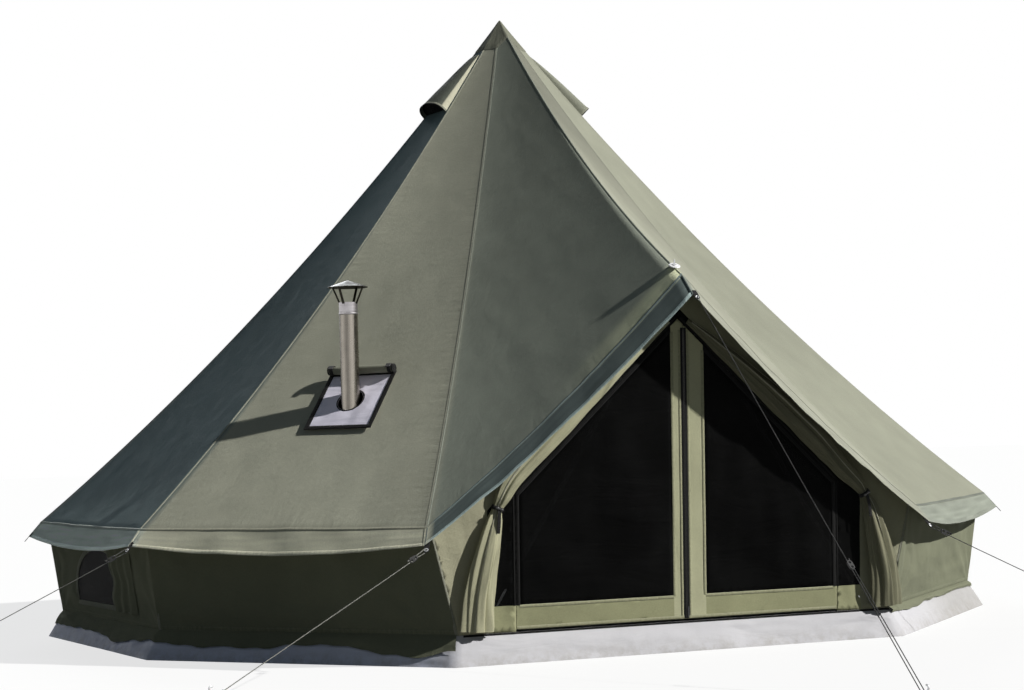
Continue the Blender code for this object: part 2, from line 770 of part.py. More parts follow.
def wall_frame(number):
    """Frame on a wall panel's outer skin: X along the wall, Y up it and Z out of it."""
    first = corner_angle(number)
    last = corner_angle(number + 1)
    low = (polar(WALL_RADIUS, first, RIM_HEIGHT) + polar(WALL_RADIUS, last, RIM_HEIGHT)) / 2
    high = (polar(WALL_TOP_RADIUS, first, WALL_TOP) + polar(WALL_TOP_RADIUS, last, WALL_TOP)) / 2
    return frame_of(low, polar(1, first, 0) - polar(1, last, 0), high - low)


def window_outline(inset=0.0):
    """Flat sill with a low arch over it."""
    half = WINDOW_HALF_WIDTH - inset
    low = WINDOW_SILL + inset
    shoulder = 0.03
    rise = WINDOW_HEIGHT - shoulder - 2 * inset
    points = [(-half, low), (half, low)]
    for turn in spread(0, math.pi, 15):
        points.append((half * math.cos(turn), low + shoulder + rise * math.sin(turn)))
    return points


def make_walls():
    for number in (1, 2, 5, 8, 9):
        rows = wall_rows(number, number + 1)
        made = from_bmesh(f"wall_panel_{number}", thicken(surface(rows), behind), CANVAS_OLIVE)
        if number in (2, 8):
            word = "left" if number == 2 else "right"
            place = wall_frame(number)
            opening = slab(f"window_opening_{word}", window_outline(), 0.05, place, None, cutters)
            cut(made, opening)
            plate(
                f"window_net_{word}", window_outline(GAP), NET_THICKNESS,
                lifted(place, -CANVAS / 2), NET_BLACK)
            window_cover(number, word)
    for word, first in (("left", 3), ("right", 6)):
        rows = wall_rows(first, first + 2)
        from_bmesh(f"wall_rear_{word}", thicken(surface(rows), behind), CANVAS_OLIVE)


def window_cover(number, word):
    """Canvas cover drawn to the door's side of its window, hanging in upright folds."""
    place = wall_frame(number)
    side = 1 if number == 2 else -1
    top = WINDOW_SILL + WINDOW_HEIGHT + 0.02
    start = WINDOW_HALF_WIDTH + 0.05 - COVER_WIDTH
    rows = []
    for share in spread(0, 1, 6):
        row = []
        for u in spread(0, 1, 25):
            wave = 0.5 - 0.5 * math.cos(2 * math.pi * COVER_FOLDS * u)
            depth = COVER_DEPTH * (0.3 + 0.7 * share) * wave + CANVAS * 0.8 + GAP
            pull = 0.04 * math.sin(math.pi * share) * (1 - u)
            x = side * (start + COVER_WIDTH * u + pull)
            row.append(place @ Vector((x, top - COVER_DROP * share, depth)))
        rows.append(row)
    inward = place.to_3x3() @ Vector((0, 0, -CANVAS * 0.8))
    return from_bmesh(
        f"window_cover_{word}", thicken(surface(rows), lambda point: inward), CANVAS_OLIVE, smooth_angle=80)


def rim_ring(radius, height):
    """Points of a ring at the wall's corners."""
    angles = [wall_corner(corner, WALL_RADIUS) for corner in range(1, PANELS + 2)]
    return [polar(radius, angle, height) for angle in angles]


def make_groundsheet():
    rows = [rim_ring(RIM_FOOT_RADIUS, 0), rim_ring(WALL_RADIUS, RIM_HEIGHT)]
    rim = thicken(surface(rows, closed=True), lambda point: behind(point) * (RIM_WALL / CANVAS))
    from_bmesh("groundsheet_rim", rim, GROUND_PVC)
    lean = (RIM_FOOT_RADIUS - WALL_RADIUS) / RIM_HEIGHT
    inside = RIM_FOOT_RADIUS - RIM_WALL - FLOOR_THICKNESS * lean - GAP * 1.1
    outline = [(p.x, p.y) for p in rim_ring(inside, 0)]
    middle = Matrix.Translation((0, 0, FLOOR_THICKNESS / 2))
    plate("groundsheet_floor", outline, FLOOR_THICKNESS, middle, GROUND_PVC)


# Poles and A-frame

def make_poles():
    foot_low = FLOOR_THICKNESS + GAP
    foot_top = foot_low + POLE_FOOT_HEIGHT
    turned("centre_pole_foot", [
        (0, foot_top), (POLE_RADIUS + 0.006, foot_top), (POLE_RADIUS + 0.010, foot_top - 0.006),
        (POLE_FOOT_RADIUS, foot_low + 0.006), (POLE_FOOT_RADIUS, foot_low), (0, foot_low)], RUBBER)
    bore = SPIGOT_RADIUS + GAP
    turned("centre_pole_lower", [
        (bore, POLE_SPLIT), (POLE_RADIUS - 0.001, POLE_SPLIT), (POLE_RADIUS, POLE_SPLIT - 0.001),
        (POLE_RADIUS, foot_top + GAP), (bore, foot_top + GAP)], POLE_STEEL)
    flat = POLE_TIP_RADIUS - 0.003
    slope = (APEX_HEIGHT - seam_height(APEX_CAP_RADIUS * 0.5)) / (APEX_CAP_RADIUS * 0.5)
    tip = APEX_HEIGHT + GAP - slope * flat / math.cos(PANEL_ANGLE / 2) * 1.02
    shoulder = tip - POLE_TIP_LENGTH
    turned("centre_pole_upper", [
        (0, tip), (flat, tip), (POLE_TIP_RADIUS, tip - 0.006), (POLE_TIP_RADIUS, shoulder),
        (POLE_RADIUS - 0.003, shoulder), (POLE_RADIUS, shoulder - 0.003), (POLE_RADIUS, POLE_SPLIT + GAP),
        (SPIGOT_RADIUS, POLE_SPLIT + GAP), (SPIGOT_RADIUS, POLE_SPLIT - SPIGOT_LENGTH),
        (0, POLE_SPLIT - SPIGOT_LENGTH)], POLE_STEEL)
    make_a_frame()


def frame_crown():
    """Where the centre lines of the A-frame's legs meet, under the ridge."""
    up = (RIDGE_END_HEIGHT - RIM_HEIGHT) - JOINT_DROP + 0.035
    return door_point(0, up, -FRAME_SETBACK)


def leg_direction(side):
    crown = frame_crown()
    foot = door_point(side * LEG_SPREAD, -RIM_HEIGHT, -FRAME_SETBACK)
    return unit(crown - foot)


def skewed_bar(name, low, high, radius, look, floor=None, segments=24):
    """Round bar between two points; floor trims its lower end level at that height."""
    direction = unit(high - low)
    first = unit(direction.orthogonal())
    second = direction.cross(first)
    ends = [[], []]
    for k in range(segments):
        turn = 2 * math.pi * k / segments
        offset = (first * math.cos(turn) + second * math.sin(turn)) * radius
        bottom = low + offset
        if floor is not None:
            bottom += direction * ((floor - bottom.z) / direction.z)
        ends[0].append(bottom)
        ends[1].append(high + offset)
    return from_bmesh(name, loft(ends), look)


def make_a_frame():
    """Two straight legs plugged into a bent apex joint, whose pin stands up through the ridge."""
    crown = frame_crown()
    floor = FLOOR_THICKNESS + GAP
    for side, word in ((-1, "left"), (1, "right")):
        direction = leg_direction(side)
        low = crown - direction * ((crown.z - floor) / direction.z)
        skewed_bar(f"a_frame_leg_{word}", low, crown - direction * LEG_END, LEG_RADIUS, POLE_STEEL, floor)
    out = DOOR.to_3x3() @ Vector((0, 0, 1))
    left = leg_direction(-1)
    right = leg_direction(1)
    path = [crown - left * JOINT_ARM, crown - left * 0.020]
    path += [crown - left * 0.008 + Vector((0, 0, -0.002)), crown - right * 0.008 + Vector((0, 0, -0.002))]
    path += [crown - right * 0.020, crown - right * JOINT_ARM]
    rings = []
    for k, point in enumerate(path):
        before = unit(point - path[k - 1]) if k else None
        after = unit(path[k + 1] - point) if k < len(path) - 1 else None
        tangent = unit((before or after) + (after or before))
        widen = 1 / tangent.dot(after or before)
        across = out.cross(tangent)
        ring = []
        for step in range(28):
            turn = 2 * math.pi * step / 28
            ring.append(
                point + out * JOINT_RADIUS * math.cos(turn) + across * JOINT_RADIUS * widen * math.sin(turn))
        rings.append(ring)
    joint = from_bmesh("a_frame_apex_joint", loft(rings), POLE_STEEL)
    for side, word in ((-1, "left"), (1, "right")):
        direction = leg_direction(side)
        length = JOINT_ARM - LEG_END + 0.02
        middle = crown - direction * (LEG_END - GAP + length / 2)
        turn = direction.to_track_quat("Z", "Y").to_matrix().to_4x4()
        place = Matrix.Translation(middle) @ turn
        cut(joint, cylinder(f"socket_{word}", LEG_RADIUS + GAP, length, place, None, cutters, 28))
    ridge = ridge_height(-crown.y / RIDGE_SHARE)
    slope = ridge_slope(-crown.y / RIDGE_SHARE)
    pin_top = ridge + PIN_RISE
    middle = Matrix.Translation((0, crown.y, (pin_top + crown.z) / 2))
    pin = cylinder("frame_pin", PIN_RADIUS, pin_top - crown.z, middle, None, cutters, 16)
    cut(joint, pin, operation="UNION")
    top = CAP_DISC_THICKNESS + GAP
    up_slope = unit(Vector((0, 1, slope)))
    centring = (top + CAP_DISC_RISE) / 2 * slope
    seat = Vector((0, crown.y, ridge)) + up_slope * centring
    place = frame_of(seat, Vector((1, 0, 0)), up_slope)
    turned("a_frame_cap", [
        (CAP_DISC_HOLE, top + CAP_DISC_RISE), (CAP_DISC_HOLE + 0.004, top + CAP_DISC_RISE),
        (CAP_DISC_HOLE + 0.007, top), (CAP_DISC_RADIUS - 0.003, top),
        (CAP_DISC_RADIUS, top - 0.0025), (CAP_DISC_RADIUS, GAP), (CAP_DISC_HOLE, GAP)],
        WHITE_PLASTIC, place, 28)


def ridge_slope(radius):
    """Fall of the ridge for each metre of reach, on the facet that carries a radius."""
    far = next((station for station in ROOF_RADII if station >= radius), ROOF_RADII[-1])
    near = ([0.0] + ROOF_RADII)[ROOF_RADII.index(far)]
    return (ridge_height(near) - ridge_height(far)) / ((far - near) * RIDGE_SHARE)


# Mesh doors

def leaf_outline(side, inset=0.0):
    """Leaf from the zip to its outer edge; inset shrinks all of its edges."""
    zip_edge = ZIP_X + side * (LEAF_GAP / 2 + inset)
    outer = side * (LEAF_OUTER - inset)
    low = LEAF_BOTTOM + inset
    drop = (LEAF_GAP / 2 + inset) * math.hypot(1, HINGE_SLOPE)
    points = [(outer, low), (zip_edge, low)]
    if side < 0:
        points.append((zip_edge, hinge_line(zip_edge) - drop))
        points.append((0.0, HINGE_TOP - drop))
    else:
        beside = zip_edge + LEAF_CORNER
        points.append((zip_edge, hinge_line(zip_edge) - drop - LEAF_CORNER))
        points.append((beside, hinge_line(beside) - drop))
    points.append((outer, hinge_line(outer) - drop))
    return points


def net_outline(side, inset=0.0):
    """Opening of a leaf's border, between its stile, bottom band and hinge edge."""
    stile = STILE_LEFT if side < 0 else STILE_RIGHT
    inner = ZIP_X + side * (LEAF_GAP / 2 + stile + inset)
    outer = side * (LEAF_OUTER - EDGE_BAND - inset)
    low = BOTTOM_BAND + inset
    drop = (EDGE_BAND + inset) * math.hypot(1, HINGE_SLOPE)
    top = hinge_line(inner) - drop
    return [(outer, low), (inner, low), (inner, top), (outer, hinge_line(outer) - drop)]


def surround_outline(side):
    """Fixed panel between a leaf, the wall's edge and the roof, in the door's plane."""
    def under_roof(x):
        up = HINGE_TOP
        for _ in range(8):
            point = door_point(x, up, LEAF_THICKNESS / 2)
            up += door_roof_underside(x, -point.y) - GAP * 2 - point.z
        return up

    wall_low = WALL_RADIUS * math.sin(DOOR_WALL_HALF_ANGLE) - SEAM_INSET - CANVAS * 0.25
    wall_high = WALL_TOP_RADIUS * math.sin(DOOR_HALF_ANGLE) - SEAM_INSET - CANVAS * 0.25
    gap = LEAF_GAP / 2 * math.hypot(1, HINGE_SLOPE)
    edge = LEAF_OUTER + LEAF_GAP / 2
    points = [(edge, GAP * 2), (wall_low, GAP * 2)]
    for x in spread(wall_high, SURROUND_NOTCH, 10):
        points.append((x, under_roof(x)))
    points += [(SURROUND_NOTCH, SURROUND_TOP), (GAP, SURROUND_TOP), (GAP, HINGE_TOP + gap)]
    points.append((edge, hinge_line(edge) + gap))
    return [(side * x, up) for x, up in points]


def make_doors():
    hinge = door_point(0, HINGE_TOP, LEAF_THICKNESS / 2)
    leaves = {}
    for side, word in ((-1, "left"), (1, "right")):
        plate(f"door_surround_{word}", surround_outline(side), LEAF_THICKNESS, DOOR, NET_BLACK)
        border = plate(
            f"door_border_{word}", leaf_outline(side), LEAF_THICKNESS, DOOR, CANVAS_DOOR, [net_outline(side)])
        net = plate(f"door_net_{word}", net_outline(side, GAP), NET_THICKNESS, DOOR, NET_BLACK)
        leaves[word] = hang(f"door_hinge_{word}", hinge, border, net)
    make_slider(leaves["right"])


def make_slider(leaf):
    """Zip slider in front of the right leaf's tape, with its pull hanging down."""
    x = ZIP_X + LEAF_GAP / 2 + ZIP_BAND / 2
    face = LEAF_THICKNESS / 2 + GAP
    body = DOOR @ Matrix.Translation((x, SLIDER_REST + SLIDER_LENGTH / 2, face + SLIDER_DEPTH / 2))
    half = SLIDER_WIDTH / 2
    rise = SLIDER_LENGTH / 2
    outline = [
        (-half * 0.7, -rise), (half * 0.7, -rise), (half, -rise * 0.5), (half, rise * 0.6),
        (half * 0.6, rise), (-half * 0.6, rise), (-half, rise * 0.6), (-half, -rise * 0.5)]
    slider = slab("zip_slider", outline, SLIDER_DEPTH, body, RUBBER)
    pull_middle = DOOR @ Matrix.Translation((
        x, SLIDER_REST + 0.006 - PULL_LENGTH / 2, face + SLIDER_DEPTH * 0.6))
    pull = slab("zip_pull", rectangle(PULL_WIDTH, PULL_LENGTH), PULL_THICKNESS, pull_middle, None, cutters)
    cut(slider, pull, operation="UNION")
    track = hang("zip_slide", body.translation.copy(), slider)
    track.parent = leaf
    track.matrix_parent_inverse = Matrix.Translation(-leaf.location)


# Canvas doors, gathered along the hem, tied and hanging to the ground

def smooth_route(stations, count):
    """Pass a smooth curve through stations of any number of values."""
    made = []
    last = len(stations) - 1
    for step in range(count):
        place = step / (count - 1) * last
        k = min(int(place), last - 1)
        t = place - k
        around = [stations[max(0, min(last, k + shift))] for shift in (-1, 0, 1, 2)]
        values = []
        for a, b, c, d in zip(*around):
            values.append(0.5 * (2 * b + (c - a) * t + (2 * a - 5 * b + 4 * c - d) * t * t
                                 + (3 * b - a - 3 * c + d) * t ** 3))
        made.append(values)
    return made


def flap_stations(tie):
    """Across, up, half width and half depth of a gathered door from its top to its foot."""
    made = []
    for x, half, depth in ((0.03, 0.028, 0.017), (0.20, 0.043, 0.029), (0.42, 0.049, 0.033),
                           (0.62, 0.049, 0.034), (0.77, 0.043, 0.030)):
        off = half * (1 + FLAP_LOBE_DEPTH) + FLAP_MARGIN + FLAP_MARGIN_GROWTH * x * x
        slant = math.hypot(1, HINGE_SLOPE)
        made.append((x + off * HINGE_SLOPE / slant, hinge_line(x) + off / slant, half, depth))
    made.append((tie, FLAP_TIE_HEIGHT, 0.030, 0.022))
    made.append((tie + 0.055, 0.37, 0.048, 0.030))
    made.append((tie + 0.095, 0.18, 0.058, 0.031))
    made.append((tie + 0.105, 0.016, 0.066, 0.028))
    return made


def canvas_flap(side, word, tie):
    """Gathered canvas: a lobed section carried along its route, flat where it lies on the door."""
    nearest = LEAF_THICKNESS / 2 + FLAP_CLEARANCE
    route = smooth_route(flap_stations(tie), 21)
    rings = []
    for k, (x, up, half, depth) in enumerate(route):
        before = route[max(0, k - 1)]
        after = route[min(len(route) - 1, k + 1)]
        along = unit(Vector((after[0] - before[0], after[1] - before[1])))
        ring = []
        for step in range(30):
            turn = 2 * math.pi * step / 30
            lobe = 1 + FLAP_LOBE_DEPTH * math.cos(FLAP_LOBES * turn + 0.25 * k)
            across = half * lobe * math.cos(turn)
            out = max(nearest, nearest + depth * (1 + lobe * math.sin(turn)) - 0.004)
            ring.append(door_point(side * (x - across * along.y), up + across * along.x, out))
        rings.append(ring)
    return from_bmesh(f"door_flap_{word}", loft(rings), CANVAS_DOOR, smooth_angle=70)


# Guys, their runners and pegs

def make_runner(name, frame):
    """Flat guy runner: two bores for the rope's strands along it, and two windows across them."""
    half = RUNNER_LENGTH / 2
    wide = RUNNER_WIDTH / 2
    outline = []
    for turn in spread(-math.pi / 2, math.pi / 2, 7):
        outline.append((half - wide + wide * math.cos(turn), wide * math.sin(turn)))
    for turn in spread(math.pi / 2, 3 * math.pi / 2, 7):
        outline.append((-half + wide + wide * math.cos(turn), wide * math.sin(turn)))
    runner = slab(name, outline, RUNNER_THICKNESS, Matrix(), BLACK_WEBBING)
    runner.matrix_world = frame
    lengthwise = Matrix.Rotation(math.pi / 2, 4, "Y")
    for side in (-1, 1):
        bore = frame @ Matrix.Translation((0, side * STRAND_OFFSET, 0)) @ lengthwise
        window = frame @ Matrix.Translation((side * RUNNER_LENGTH / 4, 0, 0))
        long, deep = RUNNER_LENGTH * 2, RUNNER_THICKNESS * 2
        cut(runner, cylinder(f"{name}_bore_{side}", ROPE_RADIUS + RUNNING, long, bore, None, cutters, 16))
        cut(runner, cylinder(f"{name}_window_{side}", RUNNER_WINDOW, deep, window, None, cutters, 16))
    return runner


def through(frame, x, side):
    """A point on one of a runner's bores."""
    return frame @ Vector((x, side * STRAND_OFFSET, 0))


def guy(number, key, peg):
    """Eave guy: doubled through its tab up by the eave, and looped round its peg."""
    eye, out, normal = TAB_EYES[key]
    ground = Vector((*peg, 0))
    peg_axis, centre, down = peg_setting(eye, ground)
    up = -down
    start = eye + down * (LOOP_RADIUS + EYE_PULL)
    across = unit(down.cross(peg_axis))
    seat = start + down * RUNNER_FROM_EYE
    face = up.cross(across)
    frame = frame_of(seat, up, face)
    half = RUNNER_LENGTH / 2
    points = peg_loop(centre, down, across)
    points.append(through(frame, -RUNNER_TRAVEL - half - 0.01, -1))
    points += [through(frame, -half, -1), through(frame, half, -1)]
    for turn in spread(-math.pi / 2, math.pi / 2, 7):
        points.append(start + face * LOOP_RADIUS * math.sin(turn) + up * LOOP_RADIUS * math.cos(turn))
    points += [through(frame, half, 1), through(frame, 0.003 - half, 1)]
    tube(f"guy_rope_{number}", points, ROPE_RADIUS, ROPE)
    make_runner(f"guy_tensioner_{number}", frame)
    make_peg(f"guy_peg_{number}", ground, peg_axis, down)


def peg_setting(start, ground):
    """Lean of a peg square to its guy, the middle of the rope's loop on it, and the guy's run."""
    centre = ground + Vector((0, 0, ROPE_PEG_HEIGHT))
    for _ in range(6):
        down = unit(centre - start)
        level = unit(Vector((down.x, down.y, 0)))
        across = level.cross(Vector((0, 0, 1)))
        axis = across.cross(down)
        if axis.z < 0:
            axis = -axis
        reach = LOOP_RADIUS - ROPE_RADIUS - PEG_RADIUS - GAP
        centre = ground + axis * (ROPE_PEG_HEIGHT / axis.z) - down * reach
    return axis, centre, down


def peg_loop(centre, down, across):
    """Tied loop round a peg, from its knot and back up into the standing line."""
    points = [centre - down * 0.046 + across * 0.0052, centre - down * 0.020 + across * 0.0072]
    for turn in spread(math.pi / 2, -math.pi / 2, 9):
        points.append(centre + across * LOOP_RADIUS * math.sin(turn) + down * LOOP_RADIUS * math.cos(turn))
    points += [centre - down * 0.022 - across * 0.0066, centre - down * 0.050, centre - down * 0.16]
    return points


def awning_guy(number, peg):
    """Guy over the door: knotted in the awning's tab, and doubled round its peg."""
    eye, out, normal = TAB_EYES["awning"]
    ground = Vector((*peg, 0))
    peg_axis, centre, down = peg_setting(eye, ground)
    lying = unit(down - normal * down.dot(normal))
    eye = eye - lying * AWNING_EYE_SLACK
    start = eye + normal * (ROPE_RADIUS + CANVAS * 0.4 + GAP)
    across = unit(down.cross(peg_axis))
    seat = start + (centre - start) * AWNING_RUNNER_SHARE
    frame = frame_of(seat, down, across)
    handed = frame.to_3x3() @ Vector((0, 1, 0))
    half = RUNNER_LENGTH / 2
    points = [
        eye - normal * 0.010 - lying * 0.006, eye - normal * 0.0035 - lying * 0.002, eye + lying * 0.0012,
        start + lying * 0.0065, start + down * 0.03]
    points += [through(frame, -AWNING_RUNNER_TRAVEL - half - 0.01, 1), through(frame, -half, 1)]
    points += [through(frame, half, 1), centre - down * 0.10 + handed * LOOP_RADIUS * 0.95]
    for turn in spread(-math.pi / 2, math.pi / 2, 9):
        points.append(centre - handed * LOOP_RADIUS * math.sin(turn) + down * LOOP_RADIUS * math.cos(turn))
    points += [centre - down * 0.10 - handed * LOOP_RADIUS * 0.95, through(frame, half, -1)]
    points.append(through(frame, 0.003 - half, -1))
    tube(f"guy_rope_{number}", points, ROPE_RADIUS, ROPE)
    make_runner(f"guy_tensioner_{number}", frame)
    make_peg(f"guy_peg_{number}", ground, peg_axis, down)


def make_peg(name, ground, axis, down):
    """The part of a hooked steel peg that shows above the ground."""
    away = unit(down)
    low = PEG_RADIUS * math.hypot(axis.x, axis.y) / axis.z
    points = [ground + axis * low, ground + axis * PEG_HEIGHT]
    top = ground + axis * PEG_HEIGHT
    for turn in spread(0, math.pi * 0.9, 8)[1:]:
        points.append(
            top - away * PEG_HOOK_RADIUS * (1 - math.cos(turn)) + axis * PEG_HOOK_RADIUS * math.sin(turn))
    return tube(name, points, PEG_RADIUS, POLE_STEEL, 3)


def make_guys():
    guy(1, "corner_2", PEG_LEFT)
    guy(2, "corner_1", PEG_FRONT_LEFT)
    awning_guy(3, PEG_FRONT)
    guy(4, f"corner_{PANELS + 1}", PEG_FRONT_RIGHT)


make_roof()
make_walls()
make_groundsheet()
make_poles()
make_doors()
canvas_flap(-1, "left", FLAP_TIE_LEFT)
canvas_flap(1, "right", FLAP_TIE_RIGHT)
make_guys()
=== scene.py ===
"""Looks of a canvas bell tent: its cloth, mesh, groundsheet, metal, ropes and light, built on the CAD frame.

Units are metres. The door faces -Y and angles round the tent start at the door and grow towards +X.
"""

import math

import bmesh
import bpy
from mathutils import Matrix, Vector, noise
from mathutils.bvhtree import BVHTree


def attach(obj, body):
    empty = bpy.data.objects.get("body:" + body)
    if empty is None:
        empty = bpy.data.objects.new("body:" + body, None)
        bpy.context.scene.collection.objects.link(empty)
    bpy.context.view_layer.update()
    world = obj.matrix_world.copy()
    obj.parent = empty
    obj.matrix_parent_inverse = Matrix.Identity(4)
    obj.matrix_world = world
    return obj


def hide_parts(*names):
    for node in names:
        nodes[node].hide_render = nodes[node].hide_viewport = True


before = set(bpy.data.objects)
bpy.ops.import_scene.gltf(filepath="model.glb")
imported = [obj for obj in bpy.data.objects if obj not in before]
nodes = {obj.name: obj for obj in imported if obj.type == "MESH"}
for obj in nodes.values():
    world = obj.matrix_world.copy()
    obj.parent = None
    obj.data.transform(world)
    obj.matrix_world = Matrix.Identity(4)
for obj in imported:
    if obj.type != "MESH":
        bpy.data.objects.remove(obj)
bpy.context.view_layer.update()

# Sizes shared with the CAD source
PANELS = 9
DOOR_HALF_ANGLE = math.radians(27.8)
DOOR_WALL_HALF_ANGLE = math.radians(25.5)
PANEL_ANGLE = (2 * math.pi - 2 * DOOR_HALF_ANGLE) / PANELS
APEX_HEIGHT = 3.384
EAVE_RADIUS = 2.61
EAVE_HEIGHT = 0.61
FACET_RADII = (0.0, 0.06, 0.22, 0.50, 0.85, 1.25, 1.68, 2.12, EAVE_RADIUS)
HEM_RADIUS = 2.675
HEM_HEIGHT = 0.535
ROOF_SAG = 0.15
HEM_SAG = 0.04
APEX_CAP_RADIUS = 0.15
CANVAS = 0.003
RIDGE_REACH = 2.385
RIDGE_END_HEIGHT = 1.709
RIDGE_SAG = 0.12
RIDGE_SHARE = RIDGE_REACH / EAVE_RADIUS
AWNING_REACH = 2.50
AWNING_HEIGHT = 1.607
DOOR_EDGE_SAG = 0.04
DOOR_HEM_SAG = 0.045
WALL_RADIUS = 2.50
WALL_TOP_RADIUS = 2.577
RIM_HEIGHT = 0.13
RIM_FOOT_RADIUS = 2.580
FLOOR_THICKNESS = 0.004
GAP = 0.0003
ZIP_X = 0.027
LEAF_OUTER = 0.80
LEAF_BOTTOM = 0.010
HINGE_TOP = 1.380
HINGE_SLOPE = 0.9615
LEAF_GAP = 0.001
LEAF_THICKNESS = 0.003
STILES = {-1: 0.062, 1: 0.098}
BOTTOM_BAND = 0.117
EDGE_BAND = 0.018
ZIP_BAND = 0.014
FLAP_LOBES = 5
FLAP_LOBE_DEPTH = 0.16
FLAP_SLOPE = ((0.03, 0.028, 0.017, 0.40), (0.20, 0.043, 0.029, 0.66), (0.42, 0.049, 0.033, 0.90),
              (0.62, 0.049, 0.034, 1.0), (0.77, 0.043, 0.030, 0.95))
FLAP_CLEARANCE = 0.001
FLAP_MARGIN = 0.008
FLAP_MARGIN_GROWTH = 0.010
FLAP_TIES = {-1: 0.885, 1: 0.945}
FLAP_TIE_HEIGHT = 0.550
WINDOW_HALF_WIDTH = 0.42
WINDOW_SILL = 0.07
WINDOW_HEIGHT = 0.30
WINDOW_SHOULDER = 0.03
COVER_WIDTH = 0.34
COVER_DROP = 0.33
COVER_FOLDS = 3
COVER_DEPTH = 0.014
HOOD_TOP = 0.165
HOOD_MOUTH = 0.44
HOOD_TOP_HEIGHT = 0.008
HOOD_HEIGHT = 0.085
HOOD_SIDE_MARGIN = 0.008
JACK_SIDE = 0.04
JACK_DISTANCE = 1.88
JACK_WIDTH = 0.366
JACK_LENGTH = 0.385
JACK_BORDER = 0.022
HEAT_PANEL_THICKNESS = 0.002
PIPE_RADIUS = 0.045
COLLAR_TOP = 1.660
ROLL_RADIUS = 0.022
ROPE_RADIUS = 0.002
LOOP_RADIUS = 0.0082
PEG_RADIUS = 0.004
PEG_GRIP = LOOP_RADIUS - ROPE_RADIUS - PEG_RADIUS - GAP
ROPE_PEG_HEIGHT = 0.020
TAB_WIDTH = 0.024
TAB_LENGTH = 0.034
TAB_HOLE_RADIUS = 0.0060
TAB_EYE = Vector((TAB_WIDTH / 2, TAB_LENGTH - 0.013, 0))
EYE_PULL = 0.0009
AWNING_EYE_SLACK = 0.0010
HALF_RUNNER = 0.023
STRAND_OFFSET = 0.0052
RUNNER_FROM_EYE = 0.075
RUNNER_TRAVEL = 0.15
AWNING_RUNNER_TRAVEL = 0.40
AWNING_RUNNER_SHARE = 0.72
PEG_LEFT = (-3.24, -0.87)
PEG_FRONT_LEFT = (-2.26, -2.88)
PEG_FRONT = (0.06, -4.20)
PEG_FRONT_RIGHT = (2.23, -2.51)

# Cloth detail of the scene
UP = Vector((0, 0, 1))
PANEL_WIDTH = 1.52
SLOPE_LENGTH = 3.73
VALANCE_WIDTH = 0.10
PANEL_BILLOW = 0.013
SEAM_WIDTH = 0.020
NET_OUTER = 0.93
NET_ABOVE_HINGE = 0.055
CANVAS_FACE = 0.0009
HEM_BAND = 0.016
RIBBON_SECTION = ((-0.5, 0.0), (-0.42, 1.0), (0.42, 1.0), (0.5, 0.0))
RIBBON_GAP = 0.0004
FIRST_STATION = 0.006
PANEL_COLUMNS = 30
ROOF_ROWS = 84
VALANCE_ROWS = 9
# Painted light and shade on the canopy: factors on the canvas's colour that make panels lighter or darker as
# light falls on them and make the valances lighter; FOLD_LIGHT is a painted highlight on a fold
PANEL_PAINTED_LIGHT = {0: (1.38, 1.36, 1.36), 1: (0.42, 0.60, 0.78), 9: (1.16, 1.15, 1.17), 10: (0.98, 1.04, 1.09)}
VALANCE_PAINTED_LIGHT = {0: (2.60, 2.52, 2.45), 1: (3.0, 3.2, 3.6), 8: (0.92, 0.97, 1.04), 9: (1.10, 1.10, 1.14),
                10: (0.40, 0.49, 0.60)}
FOLD_LIGHT = (1.35, 1.25, 0.85)
VALANCE_MOTTLE = 0.18
HOOD_COLUMNS = 33
# Painted shade on each vent hood's canvas, and a painted highlight on its lit side from column HOOD_LIT_FROM
# on
HOOD_SHADES = {"left": (0.42, 0.45, 0.47), "right": (0.85, 0.86, 0.86)}
HOOD_LIT_SHADE = (2.1, 2.0, 1.95)
HOOD_LIT_FROM = 29
ROOF_TUCK = 0.005
SKIRT_DROP = 0.066
SKIRT_DROP_RIGHT = 0.026
RIM_COLUMNS = 46
RIM_DOOR_COLUMNS = 70
FLAP_ROWS = 121
FLAP_COLUMNS = 250
FLAP_HIDDEN = 90
ROLL_STRAPS = (-0.160, 0.160)
CANVAS_THREADS = 1100
SCRIM_THREADS = 700
STITCH_PITCH = 0.0042
NET_PITCH = 0.0016
DUST = (0.22, 0.19, 0.13)

# Camera and light
CAMERA_PLACE = Vector((-3.6119, -10.2392, 0.9940))
CAMERA_FORWARD = Vector((0.333837, 0.941412, 0.047915))
CAMERA_RIGHT = Vector((0.942561, -0.332761, -0.029137))
CAMERA_LENS = 66.91
SUN_AWAY = Vector((0.69, -0.45, 0.57))
FILL_AWAY = Vector((0.10, 0.90, 0.42))
SUN_STRENGTH = 4.3
FILL_STRENGTH = 1.0
SKY = (0.62, 0.80, 1.0)
SKY_STRENGTH = 0.075
WHITE = (1.0, 1.0, 1.0)
FLOOR_SIZE = 60.0
FLOOR_BOUNCE = (0.17, 0.17, 0.16)
FLOOR_GLOW = 0.74


# Small helpers

def unit(vector):
    return vector.normalized()


def spread(low, high, count):
    return [low + (high - low) * k / (count - 1) for k in range(count)]


def round_turns(count):
    """Angles evenly round a circle, the first not repeated."""
    return [2 * math.pi * k / count for k in range(count)]


def arch(u):
    return 4 * u * (1 - u)


def ease(value, low, high):
    """Smooth step from zero at low to one at high."""
    t = min(1.0, max(0.0, (value - low) / (high - low)))
    return t * t * (3 - 2 * t)


def ripple(x, y, z=0.0):
    """Smooth noise about zero, roughly between minus one and one."""
    return noise.noise(Vector((x, y, z))) * 1.6


def polar(radius, angle, height):
    return Vector((radius * math.sin(angle), -radius * math.cos(angle), height))


def radial(point):
    return unit(Vector((point.x, point.y, 0)))


def frame_of(origin, x_axis, y_axis):
    x_axis = unit(x_axis)
    z_axis = unit(x_axis.cross(y_axis))
    turn = Matrix((x_axis, z_axis.cross(x_axis), z_axis)).transposed().to_4x4()
    return Matrix.Translation(origin) @ turn


